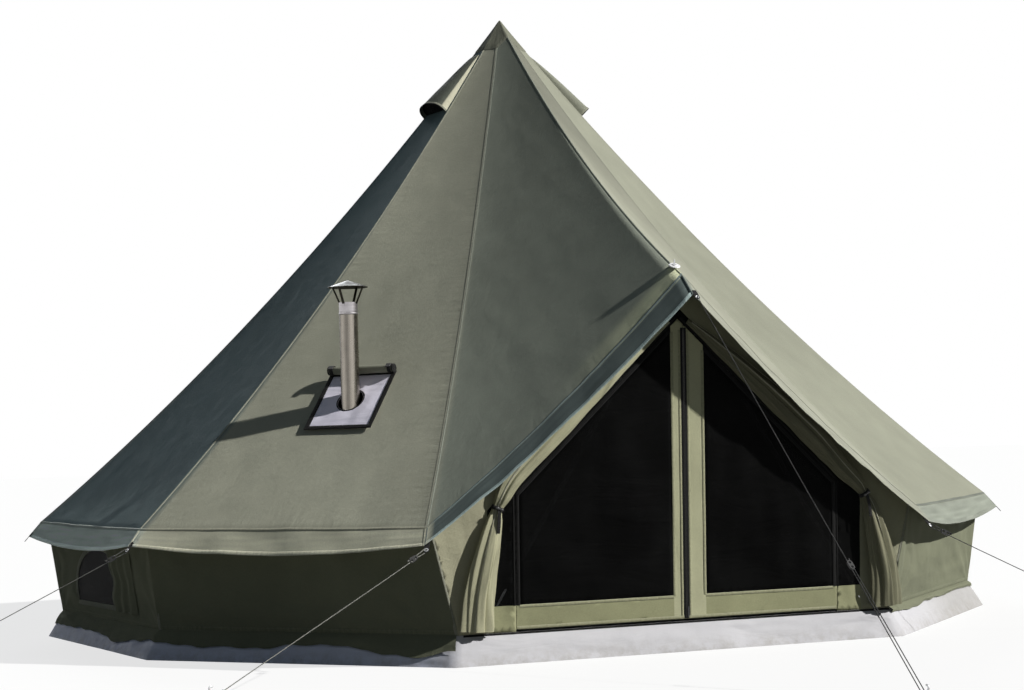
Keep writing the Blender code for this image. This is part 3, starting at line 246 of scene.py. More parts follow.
def heading(place, x, y, z=0.0):
    """Direction with the given parts along a frame's axes."""
    return place.to_3x3() @ Vector((x, y, z))


def lengths(points):
    """Running length along a list of points."""
    made = [0.0]
    for a, b in zip(points, points[1:]):
        made.append(made[-1] + (b - a).length)
    return made


def chart(outer, inner, at):
    """Rows of points and of their places on the cloth, from at(a, b), which gives both."""
    pairs = [[at(a, b) for b in inner] for a in outer]
    return [[point for point, _ in row] for row in pairs], [[place for _, place in row] for row in pairs]


def show(name, data):
    made = bpy.data.objects.new(name, data)
    bpy.context.scene.collection.objects.link(made)
    return made


def finish(name, data, look, slot, body="tent"):
    """Make an object of a mesh or curve, give it its material and let it ride on its body."""
    data.materials.append(look)
    made = show(name, data)
    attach(made, body)
    return made


def mesh_of(name, bm, sharp=None):
    """Mesh of a finished bmesh, smooth but for edges sharper than an angle in degrees."""
    mesh = bpy.data.meshes.new(name)
    bm.to_mesh(mesh)
    bm.free()
    if sharp:
        mesh.shade_smooth()
        mesh.set_sharp_from_angle(angle=math.radians(sharp))
    return mesh


def grid(name, rows, look, uv, slot, body="tent", closed=False, skip=None, sharp=None, **tints):
    """Surface through rows of points. uv gives each point's place on the cloth in metres."""
    columns = len(rows[0])
    points = [point for row in rows for point in row]
    faces = []
    loops = []
    for r in range(len(rows) - 1):
        for c in range(columns if closed else columns - 1):
            after = (c + 1) % columns
            face = [r * columns + c, r * columns + after, (r + 1) * columns + after, (r + 1) * columns + c]
            if skip and skip([points[k] for k in face]):
                continue
            faces.append(face)
            for place in (uv[r][c], uv[r][c + 1], uv[r + 1][c + 1], uv[r + 1][c]):
                loops += place
    mesh = bpy.data.meshes.new(name)
    mesh.from_pydata(points, [], faces)
    mesh.uv_layers.new(name="cloth").data.foreach_set("uv", loops)
    for key, tones in tints.items():
        tint = mesh.color_attributes.new(key, "FLOAT_COLOR", "POINT")
        tint.data.foreach_set("color", [value for row in tones for tone in row for value in (*tone, 1.0)])
    mesh.shade_smooth()
    if sharp:
        mesh.set_sharp_from_angle(angle=math.radians(sharp))
    return finish(name, mesh, look, slot, body)


def ribbon(name, line, sides, width, look, slot, lift, body="tent", closed=False):
    """Narrow raised band along a line. sides are its sideways and outward directions."""
    rows = []
    for point, (across, normal) in zip(line, sides):
        rows.append([point + across * (a * width) + normal * (lift * b + RIBBON_GAP)
                     for a, b in RIBBON_SECTION])
    if closed:
        rows.append(rows[0])
        line = line + [line[0]]
    uv = [[(a * width, v) for a, _ in RIBBON_SECTION] for v in lengths(line)]
    return grid(name, rows, look, uv, slot, body)


def rope_tube(name, points, radius, look, slot, body="tent"):
    """Round tube through points, as a curve."""
    curve = bpy.data.curves.new(name, "CURVE")
    curve.dimensions = "3D"
    curve.bevel_depth = radius
    curve.bevel_resolution = 3
    curve.use_fill_caps = True
    spline = curve.splines.new("POLY")
    spline.points.add(len(points) - 1)
    for target, point in zip(spline.points, points):
        target.co = (*point, 1.0)
    spline.use_smooth = True
    return finish(name, curve, look, slot, body)


def lathe(name, profile, place, look, slot, steps=40):
    """Turned piece from a closed profile of (radius, height) points."""
    rows = []
    for turn in round_turns(steps):
        rows.append([place @ Vector((r * math.cos(turn), r * math.sin(turn), z)) for r, z in profile])
    rows.append(rows[0])
    uv = [[(c * 0.01, r * 0.01) for c in range(len(profile))] for r in range(steps + 1)]
    return grid(name, rows, look, uv, slot, sharp=40)


def block(name, size, place, look, slot, bevel=0.15):
    """Box with rounded edges."""
    bm = bmesh.new()
    bmesh.ops.create_cube(bm, size=1.0)
    bmesh.ops.scale(bm, vec=size, verts=bm.verts)
    bmesh.ops.bevel(
        bm, geom=bm.edges[:], offset=min(size) * bevel, segments=3, profile=0.7, affect="EDGES")
    bmesh.ops.transform(bm, matrix=place, verts=bm.verts)
    return finish(name, mesh_of(name, bm, sharp=50), look, slot)


def recloth(name, sources, look, move, uv, size, slot, body="tent", keep=None, cuts=(), others=()):
    """Fine cloth over CAD nodes' faces: their faces are divided to size and each point moved.

    cuts are (point, normal) planes that divide the cloth. others are (look, test) pairs, and a face gets the
    last of those looks whose test holds at its centre.
    """
    bm = bmesh.new()
    for source in sources:
        bm.from_mesh(nodes[source].data)
    if keep:
        bmesh.ops.delete(bm, geom=[face for face in bm.faces if not keep(face)], context="FACES")
    bmesh.ops.remove_doubles(bm, verts=bm.verts, dist=0.0007)
    bmesh.ops.triangulate(bm, faces=bm.faces)
    for _ in range(9):
        long_edges = [edge for edge in bm.edges if edge.calc_length() > size]
        if not long_edges:
            break
        bmesh.ops.subdivide_edges(bm, edges=long_edges, cuts=1)
        bmesh.ops.triangulate(bm, faces=bm.faces)
    level = [edge for edge in bm.edges if edge.calc_face_angle(math.pi) < 0.25]
    bmesh.ops.beautify_fill(bm, faces=bm.faces, edges=level)
    for point, normal in cuts:
        geometry = bm.verts[:] + bm.edges[:] + bm.faces[:]
        bmesh.ops.bisect_plane(bm, geom=geometry, dist=1e-6, plane_co=point, plane_no=normal)
    layer = bm.loops.layers.uv.new("cloth")
    for face in bm.faces:
        for number, (_, holds) in enumerate(others):
            if holds(face.calc_center_median()):
                face.material_index = number + 1
        for loop in face.loops:
            loop[layer].uv = uv(loop.vert.co)
    for vert in bm.verts:
        vert.co = vert.co + move(vert.co)
    bmesh.ops.recalc_face_normals(bm, faces=bm.faces)
    made = finish(name, mesh_of(name, bm, sharp=48), look, slot, body)
    for other, _ in others:
        made.data.materials.append(other)
    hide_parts(*sources)
    return made


# Camera at the photograph's place

def make_camera():
    data = bpy.data.cameras.new("camera")
    data.lens = CAMERA_LENS
    data.sensor_width = 36.0
    data.sensor_fit = "HORIZONTAL"
    data.clip_end = 200
    camera = show("camera", data)
    up = CAMERA_RIGHT.cross(CAMERA_FORWARD)
    turn = Matrix((CAMERA_RIGHT, up, -CAMERA_FORWARD)).transposed().to_4x4()
    camera.matrix_world = Matrix.Translation(CAMERA_PLACE) @ turn
    bpy.context.scene.camera = camera


make_camera()


# Materials

class Graph:
    """A node tree with short ways to add nodes."""

    def __init__(self, tree):
        self.tree = tree

    def feed(self, value, target):
        """Set a socket to a number, a vector or a colour, or link an output to it."""
        if isinstance(value, tuple) and target.type == "RGBA":
            value = (*value, 1.0)
        if isinstance(value, (int, float, tuple)):
            target.default_value = value
        else:
            self.tree.links.new(value, target)

    def add(self, kind, inputs=(), **settings):
        """New node; inputs gives its sockets' values by number or name."""
        node = self.tree.nodes.new(kind)
        for key, value in settings.items():
            setattr(node, key, value)
        for key, value in dict(inputs).items():
            self.feed(value, node.inputs[key])
        return node

    def math(self, operation, *values, clamp=False):
        return self.add("ShaderNodeMath", enumerate(values), operation=operation, use_clamp=clamp).outputs[0]

    def blend(self, factor, first, second):
        return self.add("ShaderNodeMixShader", enumerate((factor, first, second))).outputs[0]


class Look(Graph):
    """A material of one colour, built up by its nodes."""

    def __init__(self, name, colour, roughness, metallic=0.0):
        self.material = bpy.data.materials.new(name)
        self.material.use_nodes = True
        super().__init__(self.material.node_tree)
        self.inputs = self.tree.nodes["Principled BSDF"].inputs
        self.colour = colour
        self.normal = None
        for key, value in (("Base Color", colour), ("Roughness", roughness), ("Metallic", metallic)):
            self.feed(value, self.inputs[key])

    def soft(self, specular, sheen=0.0):
        self.inputs["Specular IOR Level"].default_value = specular
        self.inputs["Sheen Weight"].default_value = sheen
        self.inputs["Sheen Roughness"].default_value = 0.45

    def times(self, first, second, clamp=False):
        return self.math("MULTIPLY", first, second, clamp=clamp)

    def wave(self, value, rate):
        return self.math("SINE", self.times(value, rate))

    def place(self, kind="Object"):
        return self.add("ShaderNodeTexCoord").outputs[kind]

    def parts(self, vector):
        return self.add("ShaderNodeSeparateXYZ", {0: vector}).outputs

    def cloud(self, vector, scale, detail=4.0, roughness=0.55, distortion=0.0):
        """Noise; a scale of three numbers stretches it along the axes."""
        if isinstance(scale, tuple):
            vector = self.add("ShaderNodeMapping", {"Vector": vector, "Scale": scale}).outputs[0]
            scale = 1.0
        inputs = {"Vector": vector, "Scale": scale, "Detail": detail, "Roughness": roughness,
                  "Distortion": distortion}
        return self.add("ShaderNodeTexNoise", inputs).outputs["Fac"]

    def fit(self, value, low, high, out_low, out_high):
        return self.add("ShaderNodeMapRange", enumerate((value, low, high, out_low, out_high))).outputs[0]

    def vary(self, cloud, low, high):
        """Spread a cloud's usual range between two values."""
        return self.fit(cloud, 0.3, 0.7, low, high)

    def mix(self, factor, first, second, blend="MIX"):
        node = self.add("ShaderNodeMix", {0: factor}, data_type="RGBA", blend_type=blend)
        slots = [slot for slot in node.inputs if slot.type == "RGBA"]
        self.feed(first, slots[0])
        self.feed(second, slots[1])
        return [slot for slot in node.outputs if slot.type == "RGBA"][0]

    def tinted(self, tone):
        """The look's colour times a grey tone."""
        grey = self.add("ShaderNodeCombineColor", enumerate((tone, tone, tone))).outputs[0]
        return self.mix(1.0, self.colour, grey, "MULTIPLY")

    def dyed(self, shade):
        # Multiplies in the painted light and shade that the mesh carries per point
        dye = self.add("ShaderNodeAttribute", attribute_name="dye").outputs["Color"]
        return self.mix(1.0, shade, dye, "MULTIPLY")

    def base(self, value):
        self.feed(value, self.inputs["Base Color"])

    def rough(self, value):
        self.feed(value, self.inputs["Roughness"])

    def bump(self, height, distance, strength=1.0):
        inputs = {"Distance": distance, "Strength": strength, "Height": height}
        if self.normal:
            inputs["Normal"] = self.normal
        self.normal = self.add("ShaderNodeBump", inputs).outputs[0]
        self.feed(self.normal, self.inputs["Normal"])


def weave(look, threads):
    """Plain weave from the cloth's own coordinates, at a number of threads a metre."""
    u, v, _ = look.parts(look.place("UV"))
    return look.times(look.wave(u, threads * math.pi), look.wave(v, threads * math.pi))


def puckers(look):
    """Small folds square to the seams and the eave, fading away from them by the cloth's own marks."""
    marks = look.add("ShaderNodeAttribute", attribute_name="marks").outputs["Color"]
    near_seam, near_eave, _ = look.add("ShaderNodeSeparateColor", {0: marks}).outputs
    uv = look.place("UV")
    seam = look.times(look.cloud(uv, (5, 26, 1), 3.0), near_seam)
    eave = look.times(look.cloud(uv, (24, 5, 1), 3.0), near_eave)
    look.bump(look.math("ADD", seam, eave), 0.0045)


def canvas_look(name, colour, crumple=1.0, dirt=0.0, dyed=False, puckered=False):
    """Proofed cotton canvas: weave, yarn flecks, faint water marks and fine creases."""
    look = Look(name, colour, 0.86)
    look.soft(0.07, 0.05)
    place = look.place()
    uv = look.place("UV")
    broad = look.vary(look.cloud(place, 0.9, 5.0), 0.90, 1.10)
    middle = look.vary(look.cloud(place, 7.0, 5.0, 0.6), 0.95, 1.05)
    flecks = look.vary(look.cloud(uv, (900, 90, 1), 2.0), 0.93, 1.07)
    slubs = look.vary(look.cloud(uv, (60, 700, 1), 2.0), 0.95, 1.05)
    shade = look.tinted(look.times(look.times(broad, middle), look.times(flecks, slubs)))
    if dyed:
        shade = look.dyed(shade)
    if dirt:
        low = look.fit(look.parts(place)[2], 0.05, 0.45, dirt, 0.0)
        marks = look.times(low, look.cloud(place, 11.0, 6.0, 0.7), clamp=True)
        shade = look.mix(marks, shade, tuple(part * 0.45 + 0.02 for part in colour))
    look.base(shade)
    look.rough(look.vary(look.cloud(place, 14.0), 0.80, 0.93))
    if puckered:
        puckers(look)
    look.bump(look.cloud(place, 2.6, 3.0, 0.5, 0.5), 0.0040 * crumple)
    look.bump(look.cloud(uv, (7, 3.5, 1), 4.0, 0.55, 0.8), 0.0018 * crumple)
    look.bump(look.cloud(uv, (14, 34, 1), 4.0, 0.6, 1.2), 0.0006 * crumple)
    look.bump(weave(look, CANVAS_THREADS), 0.00012, 0.8)
    return look.material


def seam_look(name, colour, rows, thread, dyed=False):
    """Folded seam or hem with lines of stitches; rows are their places across the band."""
    look = Look(name, colour, 0.85)
    look.soft(0.07, 0.04)
    uv = look.place("UV")
    u, v, _ = look.parts(uv)
    pucker = look.cloud(uv, (25, 75, 1), 3.0, 0.5)
    tone = look.times(look.vary(pucker, 0.86, 1.12), look.vary(look.cloud(look.place(), 5.0), 0.94, 1.06))
    dash = look.math("GREATER_THAN", look.math("FRACT", look.math("DIVIDE", v, STITCH_PITCH)), 0.28)
    stitch = None
    for row in rows:
        near = look.math("LESS_THAN", look.math("ABSOLUTE", look.math("SUBTRACT", u, row)), 0.0007)
        stitch = near if stitch is None else look.math("MAXIMUM", stitch, near)
    stitch = look.times(stitch, dash)
    shade = look.mix(stitch, look.tinted(tone), thread)
    look.base(look.dyed(shade) if dyed else shade)
    look.bump(pucker, 0.0016)
    look.bump(weave(look, CANVAS_THREADS), 0.00012, 0.8)
    look.bump(stitch, 0.0004)
    return look.material


def webbing_look(name, colour):
    """Woven strap with a herringbone rib."""
    look = Look(name, colour, 0.7)
    look.soft(0.15, 0.05)
    u, v, _ = look.parts(look.place("UV"))
    rib = look.wave(look.math("ADD", look.math("ABSOLUTE", u), v), 2 * math.pi / 0.0017)
    fleck = look.cloud(look.place(), 700.0, 2.0)
    look.base(look.tinted(look.math("ADD", look.fit(rib, -1, 1, 0.8, 1.15), look.vary(fleck, -0.12, 0.12))))
    look.bump(rib, 0.0003)
    look.bump(fleck, 0.0003)
    return look.material


def net_look(name, colour):
    """Fine insect mesh, woven of round threads with small holes between them."""
    look = Look(name, colour, 0.6)
    look.soft(0.03)
    u, v, _ = look.parts(look.place("UV"))
    across = look.math("ABSOLUTE", look.wave(u, math.pi / NET_PITCH))
    along = look.math("ABSOLUTE", look.wave(v, math.pi / NET_PITCH))
    hole = look.times(look.math("GREATER_THAN", across, 0.62), look.math("GREATER_THAN", along, 0.62))
    look.feed(look.math("SUBTRACT", 1.0, look.times(hole, 0.6)), look.inputs["Alpha"])
    look.base(look.tinted(look.fit(look.cloud(look.place(), 3.0), 0.35, 0.8, 0.7, 2.2)))
    look.bump(look.times(across, along), 0.0003)
    look.bump(look.cloud(look.place(), (2, 2, 9), 5.0, 0.6, 1.0), 0.006)
    return look.material


def sheet_look(name, colour, dirt=0.25, roughness=0.5, dyed=False):
    """Coated groundsheet: fine scrim under a soft film, long creases and dust near the ground."""
    look = Look(name, colour, roughness)
    look.soft(0.18)
    place = look.place()
    uv = look.place("UV")
    broad = look.vary(look.cloud(place, 1.6, 5.0), 0.93, 1.05)
    fine = look.vary(look.cloud(uv, (500, 500, 1), 2.0), 0.965, 1.035)
    shade = look.tinted(look.times(broad, fine))
    if dyed:
        shade = look.dyed(shade)
    low = look.fit(look.parts(place)[2], 0.0, 0.07, dirt * 2.2, 0.0)
    spots = look.fit(look.cloud(place, 16.0, 8.0, 0.72), 0.42, 0.72, 0.0, 1.0)
    look.base(look.mix(look.times(low, spots, clamp=True), shade, DUST))
    look.rough(look.vary(look.cloud(place, 20.0, 5.0), roughness - 0.08, roughness + 0.15))
    look.bump(look.cloud(uv, (2.2, 8, 1), 3.0, 0.5, 1.0), 0.008)
    look.bump(look.cloud(place, 22.0, 3.0, 0.5, 0.6), 0.0007)
    look.bump(weave(look, SCRIM_THREADS), 0.00008, 0.7)
    return look.material


def metal_look(name, colour, roughness, brush=(900, 900, 6), grime=0.15):
    """Drawn or rolled metal: fine brushing, cloudy oxide and handling marks."""
    look = Look(name, colour, roughness, 1.0)
    place = look.place()
    lines = look.cloud(place, brush, 3.0, 0.6)
    clouds = look.cloud(place, 22.0, 5.0, 0.65)
    grimy = look.fit(clouds, 0.35, 0.75, 1.0, 1 - grime)
    look.base(look.tinted(look.times(look.vary(lines, 0.86, 1.14), grimy)))
    oxide = look.vary(clouds, roughness - 0.03, roughness + 0.14)
    look.rough(look.math("ADD", look.vary(lines, -0.07, 0.10), oxide))
    look.bump(lines, 0.00008, 0.8)
    look.bump(look.cloud(place, 9.0, 3.0), 0.0004, 0.6)
    return look.material


def pipe_look(name, colour, roughness):
    """Upright rolled tube: fine lines along it, and painted reflections as dark and bright bands round it."""
    look = Look(name, colour, roughness, 1.0)
    place = look.place()
    x, y, _ = look.parts(look.add("ShaderNodeNewGeometry").outputs["Normal"])
    turn = look.math("ARCTAN2", y, x)
    # Painted reflection: light and dark stripes by the way the surface faces round the pipe
    bands = look.math("SINE", look.math("SUBTRACT", look.times(turn, 6.0), 1.73))
    slow = look.math("SINE", look.math("ADD", turn, 2.96))
    lines = look.cloud(place, (1500, 1500, 5), 3.0, 0.6)
    clouds = look.cloud(place, 22.0, 5.0, 0.65)
    tone = look.math("ADD", look.fit(bands, -1, 1, 0.15, 1.0), look.fit(slow, -1, 1, 0.0, 0.6))
    tone = look.times(tone, look.vary(lines, 0.82, 1.15))
    look.base(look.tinted(look.times(tone, look.fit(clouds, 0.35, 0.75, 1.05, 0.88))))
    look.rough(look.vary(clouds, roughness - 0.04, roughness + 0.12))
    look.bump(lines, 0.00008, 0.8)
    return look.material


def plastic_look(name, colour, roughness, grain=900.0):
    """Moulded plastic with a fine grain and scuffed edges."""
    look = Look(name, colour, roughness)
    look.soft(0.5)
    place = look.place()
    scuff = look.cloud(place, 90.0, 5.0, 0.7)
    look.base(look.tinted(look.fit(scuff, 0.35, 0.8, 0.94, 1.14)))
    look.rough(look.vary(scuff, roughness - 0.06, roughness + 0.14))
    look.bump(look.cloud(place, grain, 2.0), 0.00012)
    return look.material


def rope_look(name, colour, fleck):
    """Braided cord with a tracer yarn."""
    look = Look(name, colour, 0.8)
    look.soft(0.25, 0.2)
    x, y, z = look.parts(look.place())
    run = look.math("ADD", x, look.math("ADD", y, z))
    braid = look.wave(run, 2 * math.pi / 0.0024)
    tracer = look.math("GREATER_THAN", look.wave(run, 2 * math.pi / 0.011), 0.82)
    look.base(look.mix(look.times(tracer, 0.6), look.tinted(look.fit(braid, -1, 1, 0.7, 1.2)), fleck))
    look.bump(braid, 0.0004)
    return look.material


OLIVE = (0.300, 0.306, 0.242)
HEM_OLIVE = (0.31, 0.315, 0.25)
SOOT = (0.014, 0.014, 0.014)
FELLED = (-0.0062, 0.0062)
HEMMED = (-0.0045, 0.0045)

# Some looks below multiply in the painted light and shade that their meshes carry per point
canvas = canvas_look("canvas_olive", OLIVE, dyed=True, puckered=True)
plain_canvas = canvas_look("canvas_trim", OLIVE)
wall_canvas = canvas_look("canvas_wall", (0.212, 0.222, 0.152), crumple=3.2, dirt=0.4)
door_canvas = canvas_look("canvas_door", (0.540, 0.540, 0.355), dirt=0.15)
door_foot_canvas = canvas_look("canvas_door_foot", (0.375, 0.378, 0.225), crumple=1.2, dirt=0.15)
wall_hem = seam_look("hem_wall", (0.205, 0.215, 0.148), FELLED, (0.26, 0.27, 0.20))
apex_canvas = seam_look("apex_canvas", (0.205, 0.210, 0.162), (0.0, 0.006), (0.30, 0.30, 0.25))
pale_hem = seam_look("hem_pale", (0.56, 0.55, 0.44), (0.0,), (0.40, 0.40, 0.30))
side_canvas = canvas_look("canvas_side", (0.340, 0.338, 0.235), crumple=2.0, dirt=0.2)
hood_canvas = canvas_look("canvas_hood", OLIVE, crumple=3.0, dyed=True)
flap_canvas = canvas_look("canvas_flap", (0.360, 0.352, 0.240), crumple=1.2, dyed=True)
# Painted light: a lighter copy of the side canvas for the door's left side
lit_canvas = canvas_look("canvas_side_painted_lit", (0.470, 0.455, 0.320), crumple=2.4, dirt=0.15)
seam_cloth = seam_look("seam_olive", (0.315, 0.321, 0.256), FELLED, (0.42, 0.42, 0.34), dyed=True)
valance_cloth = seam_look("hem_valance", HEM_OLIVE, HEMMED, (0.40, 0.40, 0.32), dyed=True)
hem_cloth = seam_look("hem_olive", HEM_OLIVE, HEMMED, (0.40, 0.40, 0.32))
eave_cloth = seam_look("hem_eave", (0.19, 0.195, 0.155), (-0.005, 0.003), (0.30, 0.30, 0.25), dyed=True)
door_hem = seam_look("hem_door", (0.40, 0.40, 0.26), (-0.006, 0.006), (0.50, 0.50, 0.36))
black_webbing = webbing_look("webbing_black", (0.012, 0.012, 0.012))
black_tape = seam_look("tape_black", SOOT, (-0.004, 0.004), (0.03, 0.03, 0.03))
insect_net = net_look("net_black", (0.0035, 0.0036, 0.0036))
ground_sheet = sheet_look("ground_pvc", (0.590, 0.585, 0.615), dyed=True)
floor_sheet = sheet_look("ground_floor", (0.42, 0.42, 0.45), dirt=0.0)
heat_cloth = sheet_look("heat_panel", (0.90, 0.87, 1.0), dirt=0.0, roughness=0.55)
pole_steel = metal_look("pole_steel", (0.55, 0.56, 0.57), 0.34)
pipe_steel = pipe_look("pipe_steel", (0.25, 0.228, 0.198), 0.22)
collar_steel = metal_look("collar_steel", (0.44, 0.42, 0.43), 0.30, brush=(6, 6, 900), grime=0.3)
# Painted reflection: the rain cap's cone and legs are a near-black steel that stands for the dark reflections
# on them
cap_steel = metal_look("cap_steel", (0.036, 0.033, 0.026), 0.36, brush=(60, 60, 300), grime=0.3)
white_plastic = plastic_look("white_plastic", (0.82, 0.82, 0.83), 0.35)
black_plastic = plastic_look("black_plastic", SOOT, 0.42)
black_rubber = plastic_look("rubber", (0.022, 0.022, 0.022), 0.75, 300.0)
zip_coil = metal_look("zip_coil", (0.05, 0.05, 0.05), 0.45)
pale_rope = rope_look("rope_pale", (0.33, 0.33, 0.30), (0.10, 0.10, 0.09))
dark_rope = rope_look("rope_dark", (0.035, 0.035, 0.035), (0.25, 0.25, 0.24))


# Formulas of the canopy

def corner_angle(corner):
    return -(DOOR_HALF_ANGLE + (corner - 1) * PANEL_ANGLE)


def level_at(angle):
    """Level direction square to the radius at an angle."""
    return Vector((math.cos(angle), math.sin(angle), 0))


def panel_axes(number):
    """Directions out over the middle of a panel and level across it."""
    middle = (corner_angle(number) + corner_angle(number + 1)) / 2
    return polar(1, middle, 0), level_at(middle)


def sagging(radius, low, sag):
    share = radius / EAVE_RADIUS
    return APEX_HEIGHT - (APEX_HEIGHT - low) * share - sag * arch(share)


def seam_height(radius):
    return sagging(radius, EAVE_HEIGHT, ROOF_SAG)


def under(point):
    return -(radial(point) + UP) * CANVAS * math.sqrt(0.5)


WALL_TOP = seam_height(WALL_TOP_RADIUS) - CANVAS * 1.6 - GAP
DOOR_PLANE = WALL_RADIUS * math.cos(DOOR_WALL_HALF_ANGLE)
DOOR_LEAN = (WALL_TOP_RADIUS * math.cos(DOOR_HALF_ANGLE) - DOOR_PLANE) / (WALL_TOP - RIM_HEIGHT)
DOOR = frame_of(
    Vector((0, LEAF_THICKNESS / 2 - DOOR_PLANE, RIM_HEIGHT)), Vector((1, 0, 0)), Vector((0, -DOOR_LEAN, 1)))
DOOR_BACK = DOOR.inverted()
DOOR_OUT = heading(DOOR, 0, 0, 1)


def door_point(x, up, out=0.0):
    return DOOR @ Vector((x, up, out))


def hinge_line(x):
    return HINGE_TOP - HINGE_SLOPE * abs(x)


# The guys come first: their tabs' eyes, ropes and knots

def tab_frame(tip, along, out):
    """Frame of a guy's tab, the middle of its eye and its upward direction."""
    place = frame_of(tip + under(tip) / 2, along, out)
    normal = unit(along.cross(out))
    return place, place @ TAB_EYE, normal if normal.z > 0 else -normal


def corner_tab_frame(corner):
    angle = corner_angle(corner)
    tip = polar(HEM_RADIUS, angle, HEM_HEIGHT)
    side = -1 if corner == PANELS + 1 else 1
    return tab_frame(tip, level_at(angle) * side, tip - polar(EAVE_RADIUS, angle, EAVE_HEIGHT))


def awning_tab_frame():
    front = Vector((0, -AWNING_REACH, AWNING_HEIGHT))
    return tab_frame(front, Vector((1, 0, 0)), front - Vector((0, -RIDGE_REACH, RIDGE_END_HEIGHT)))


def peg_setting(eye, peg):
    """Middle of the rope's loop round its peg, the rope's way down to it and the way across."""
    ground = Vector((*peg, 0))
    centre = ground + UP * ROPE_PEG_HEIGHT
    for _ in range(6):
        down = unit(centre - eye)
        axis = radial(down).cross(UP).cross(down)
        if axis.z < 0:
            axis = -axis
        centre = ground + axis * (ROPE_PEG_HEIGHT / axis.z) - down * PEG_GRIP
    return centre, down, unit(down.cross(axis))


def through(place, x, side):
    return place @ Vector((x, side * STRAND_OFFSET, 0))


def loop_round(centre, first, beyond, count=15):
    """Half a turn of rope that starts at its first side and passes beyond the centre."""
    made = []
    for turn in spread(0, math.pi, count):
        made.append(centre + (first * math.cos(turn) + beyond * math.sin(turn)) * LOOP_RADIUS)
    return made


def straight(points):
    """Add points along the long straight spans."""
    made = [points[0]]
    for a, b in zip(points, points[1:]):
        count = max(1, int((b - a).length / 0.12))
        made += [a.lerp(b, (k + 1) / count) for k in range(count)]
    return made


def wrapped_knot(name, look, centre, along, turns=3, radius=0.0042, body="tent"):
    """Short coil of the rope round its standing line, as a hitch."""
    first = unit(along.orthogonal())
    second = along.cross(first)
    points = []
    for share in spread(0, 1, turns * 12 + 1):
        turn = 2 * math.pi * turns * share
        offset = (share - 0.5) * turns * ROPE_RADIUS * 2.05
        points.append(centre + along * offset + (first * math.cos(turn) + second * math.sin(turn)) * radius)
    return rope_tube(name, points, ROPE_RADIUS, look, "rope", body)


def lay_guy(number, points, look, runner, side, knot):
    """Rope through its points, its knot, and the stopper knot at the dead end in its runner."""
    points = straight(points)
    rope = rope_tube(f"guy_line_{number}", points, ROPE_RADIUS, look, "rope")
    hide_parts(f"guy_rope_{number}")
    knot = wrapped_knot(f"guy_knot_{number}", look, *knot)
    stopper = wrapped_knot(
        f"guy_stopper_{number}", look, through(runner, -HALF_RUNNER - 0.0045, side), heading(runner, 1, 0),
        2, 0.0026, f"guy_tensioner_{number}")
    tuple(points[0])
    lengths(points)[-1]


def make_guy(number, corner, peg, look):
    """Rope doubled through the eye of a corner's tab and tied round its peg."""
    _, eye, _ = corner_tab_frame(corner)
    centre, down, across = peg_setting(eye, peg)
    start = eye + down * (LOOP_RADIUS + EYE_PULL)
    face = across.cross(down)
    runner = frame_of(start + down * RUNNER_FROM_EYE, -down, face)
    points = [through(runner, 0.003 - HALF_RUNNER, 1), through(runner, HALF_RUNNER, 1)]
    points += loop_round(start, face, -down, 13)
    for x in (HALF_RUNNER, -HALF_RUNNER, -RUNNER_TRAVEL - HALF_RUNNER - 0.01):
        points.append(through(runner, x, -1))
    points += [centre - down * 0.16, centre - down * 0.050, centre - down * 0.022 - across * 0.0066]
    points += loop_round(centre, -across, down)
    points += [centre - down * 0.020 + across * 0.0072, centre - down * 0.046 + across * 0.0052]
    lay_guy(number, points, look, runner, 1, (centre - down * 0.050 + across * 0.001, down))


def make_awning_guy(number, peg, look):
    """Rope knotted in the awning's tab, led round its peg and back to its runner."""
    _, eye, normal = awning_tab_frame()
    centre, down, across = peg_setting(eye, peg)
    lying = unit(down - normal * down.dot(normal))
    eye = eye - lying * AWNING_EYE_SLACK
    start = eye + normal * (ROPE_RADIUS + CANVAS * 0.4 + GAP)
    runner = frame_of(start.lerp(centre, AWNING_RUNNER_SHARE), down, across)
    handed = heading(runner, 0, 1)
    points = [
        eye - normal * 0.010 - lying * 0.006, eye - normal * 0.0035 - lying * 0.002, eye + lying * 0.0012,
        start + lying * 0.0065, start + down * 0.03]
    for x in (-AWNING_RUNNER_TRAVEL - HALF_RUNNER - 0.01, -HALF_RUNNER, HALF_RUNNER):
        points.append(through(runner, x, 1))
    points.append(centre - down * 0.10 + handed * LOOP_RADIUS * 0.95)
    points += loop_round(centre, handed, down)
    points.append(centre - down * 0.10 - handed * LOOP_RADIUS * 0.95)
    points += [through(runner, HALF_RUNNER, -1), through(runner, 0.003 - HALF_RUNNER, -1)]
    lay_guy(number, points, look, runner, -1, (eye - normal * 0.0085 - lying * 0.005, normal, 2, 0.0028))


make_guy(1, 2, PEG_LEFT, pale_rope)
make_guy(2, 1, PEG_FRONT_LEFT, pale_rope)
make_awning_guy(3, PEG_FRONT, dark_rope)
make_guy(4, PANELS + 1, PEG_FRONT_RIGHT, dark_rope)


# Canopy: one continuous sheet over every panel, with seams, hem and patches on it

def roof_stretch(segment):
    """Angles at both ends of a stretch of the canopy; None stands for the ridge over the door."""
    if segment < PANELS:
        return corner_angle(segment + 1), corner_angle(segment + 2)
    return (corner_angle(PANELS + 1) + 2 * math.pi, None) if segment == PANELS else (None, corner_angle(1))


def edge_point(angle, radius):
    if angle is None:
        return Vector((0, -radius * RIDGE_SHARE, sagging(radius, RIDGE_END_HEIGHT, RIDGE_SAG)))
    return polar(radius, angle, seam_height(radius))


def edge_tip(angle):
    if angle is None:
        return Vector((0, -AWNING_REACH, AWNING_HEIGHT))
    return polar(HEM_RADIUS, angle, HEM_HEIGHT)


def width_at(segment, s):
    first, last = roof_stretch(segment)
    radius = EAVE_RADIUS * min(s, 1)
    return (edge_point(first, radius) - edge_point(last, radius)).length


def slope_at(s):
    """Distance from the apex down the roof and the valance."""
    return s * SLOPE_LENGTH if s <= 1 else SLOPE_LENGTH + (s - 1) * VALANCE_WIDTH


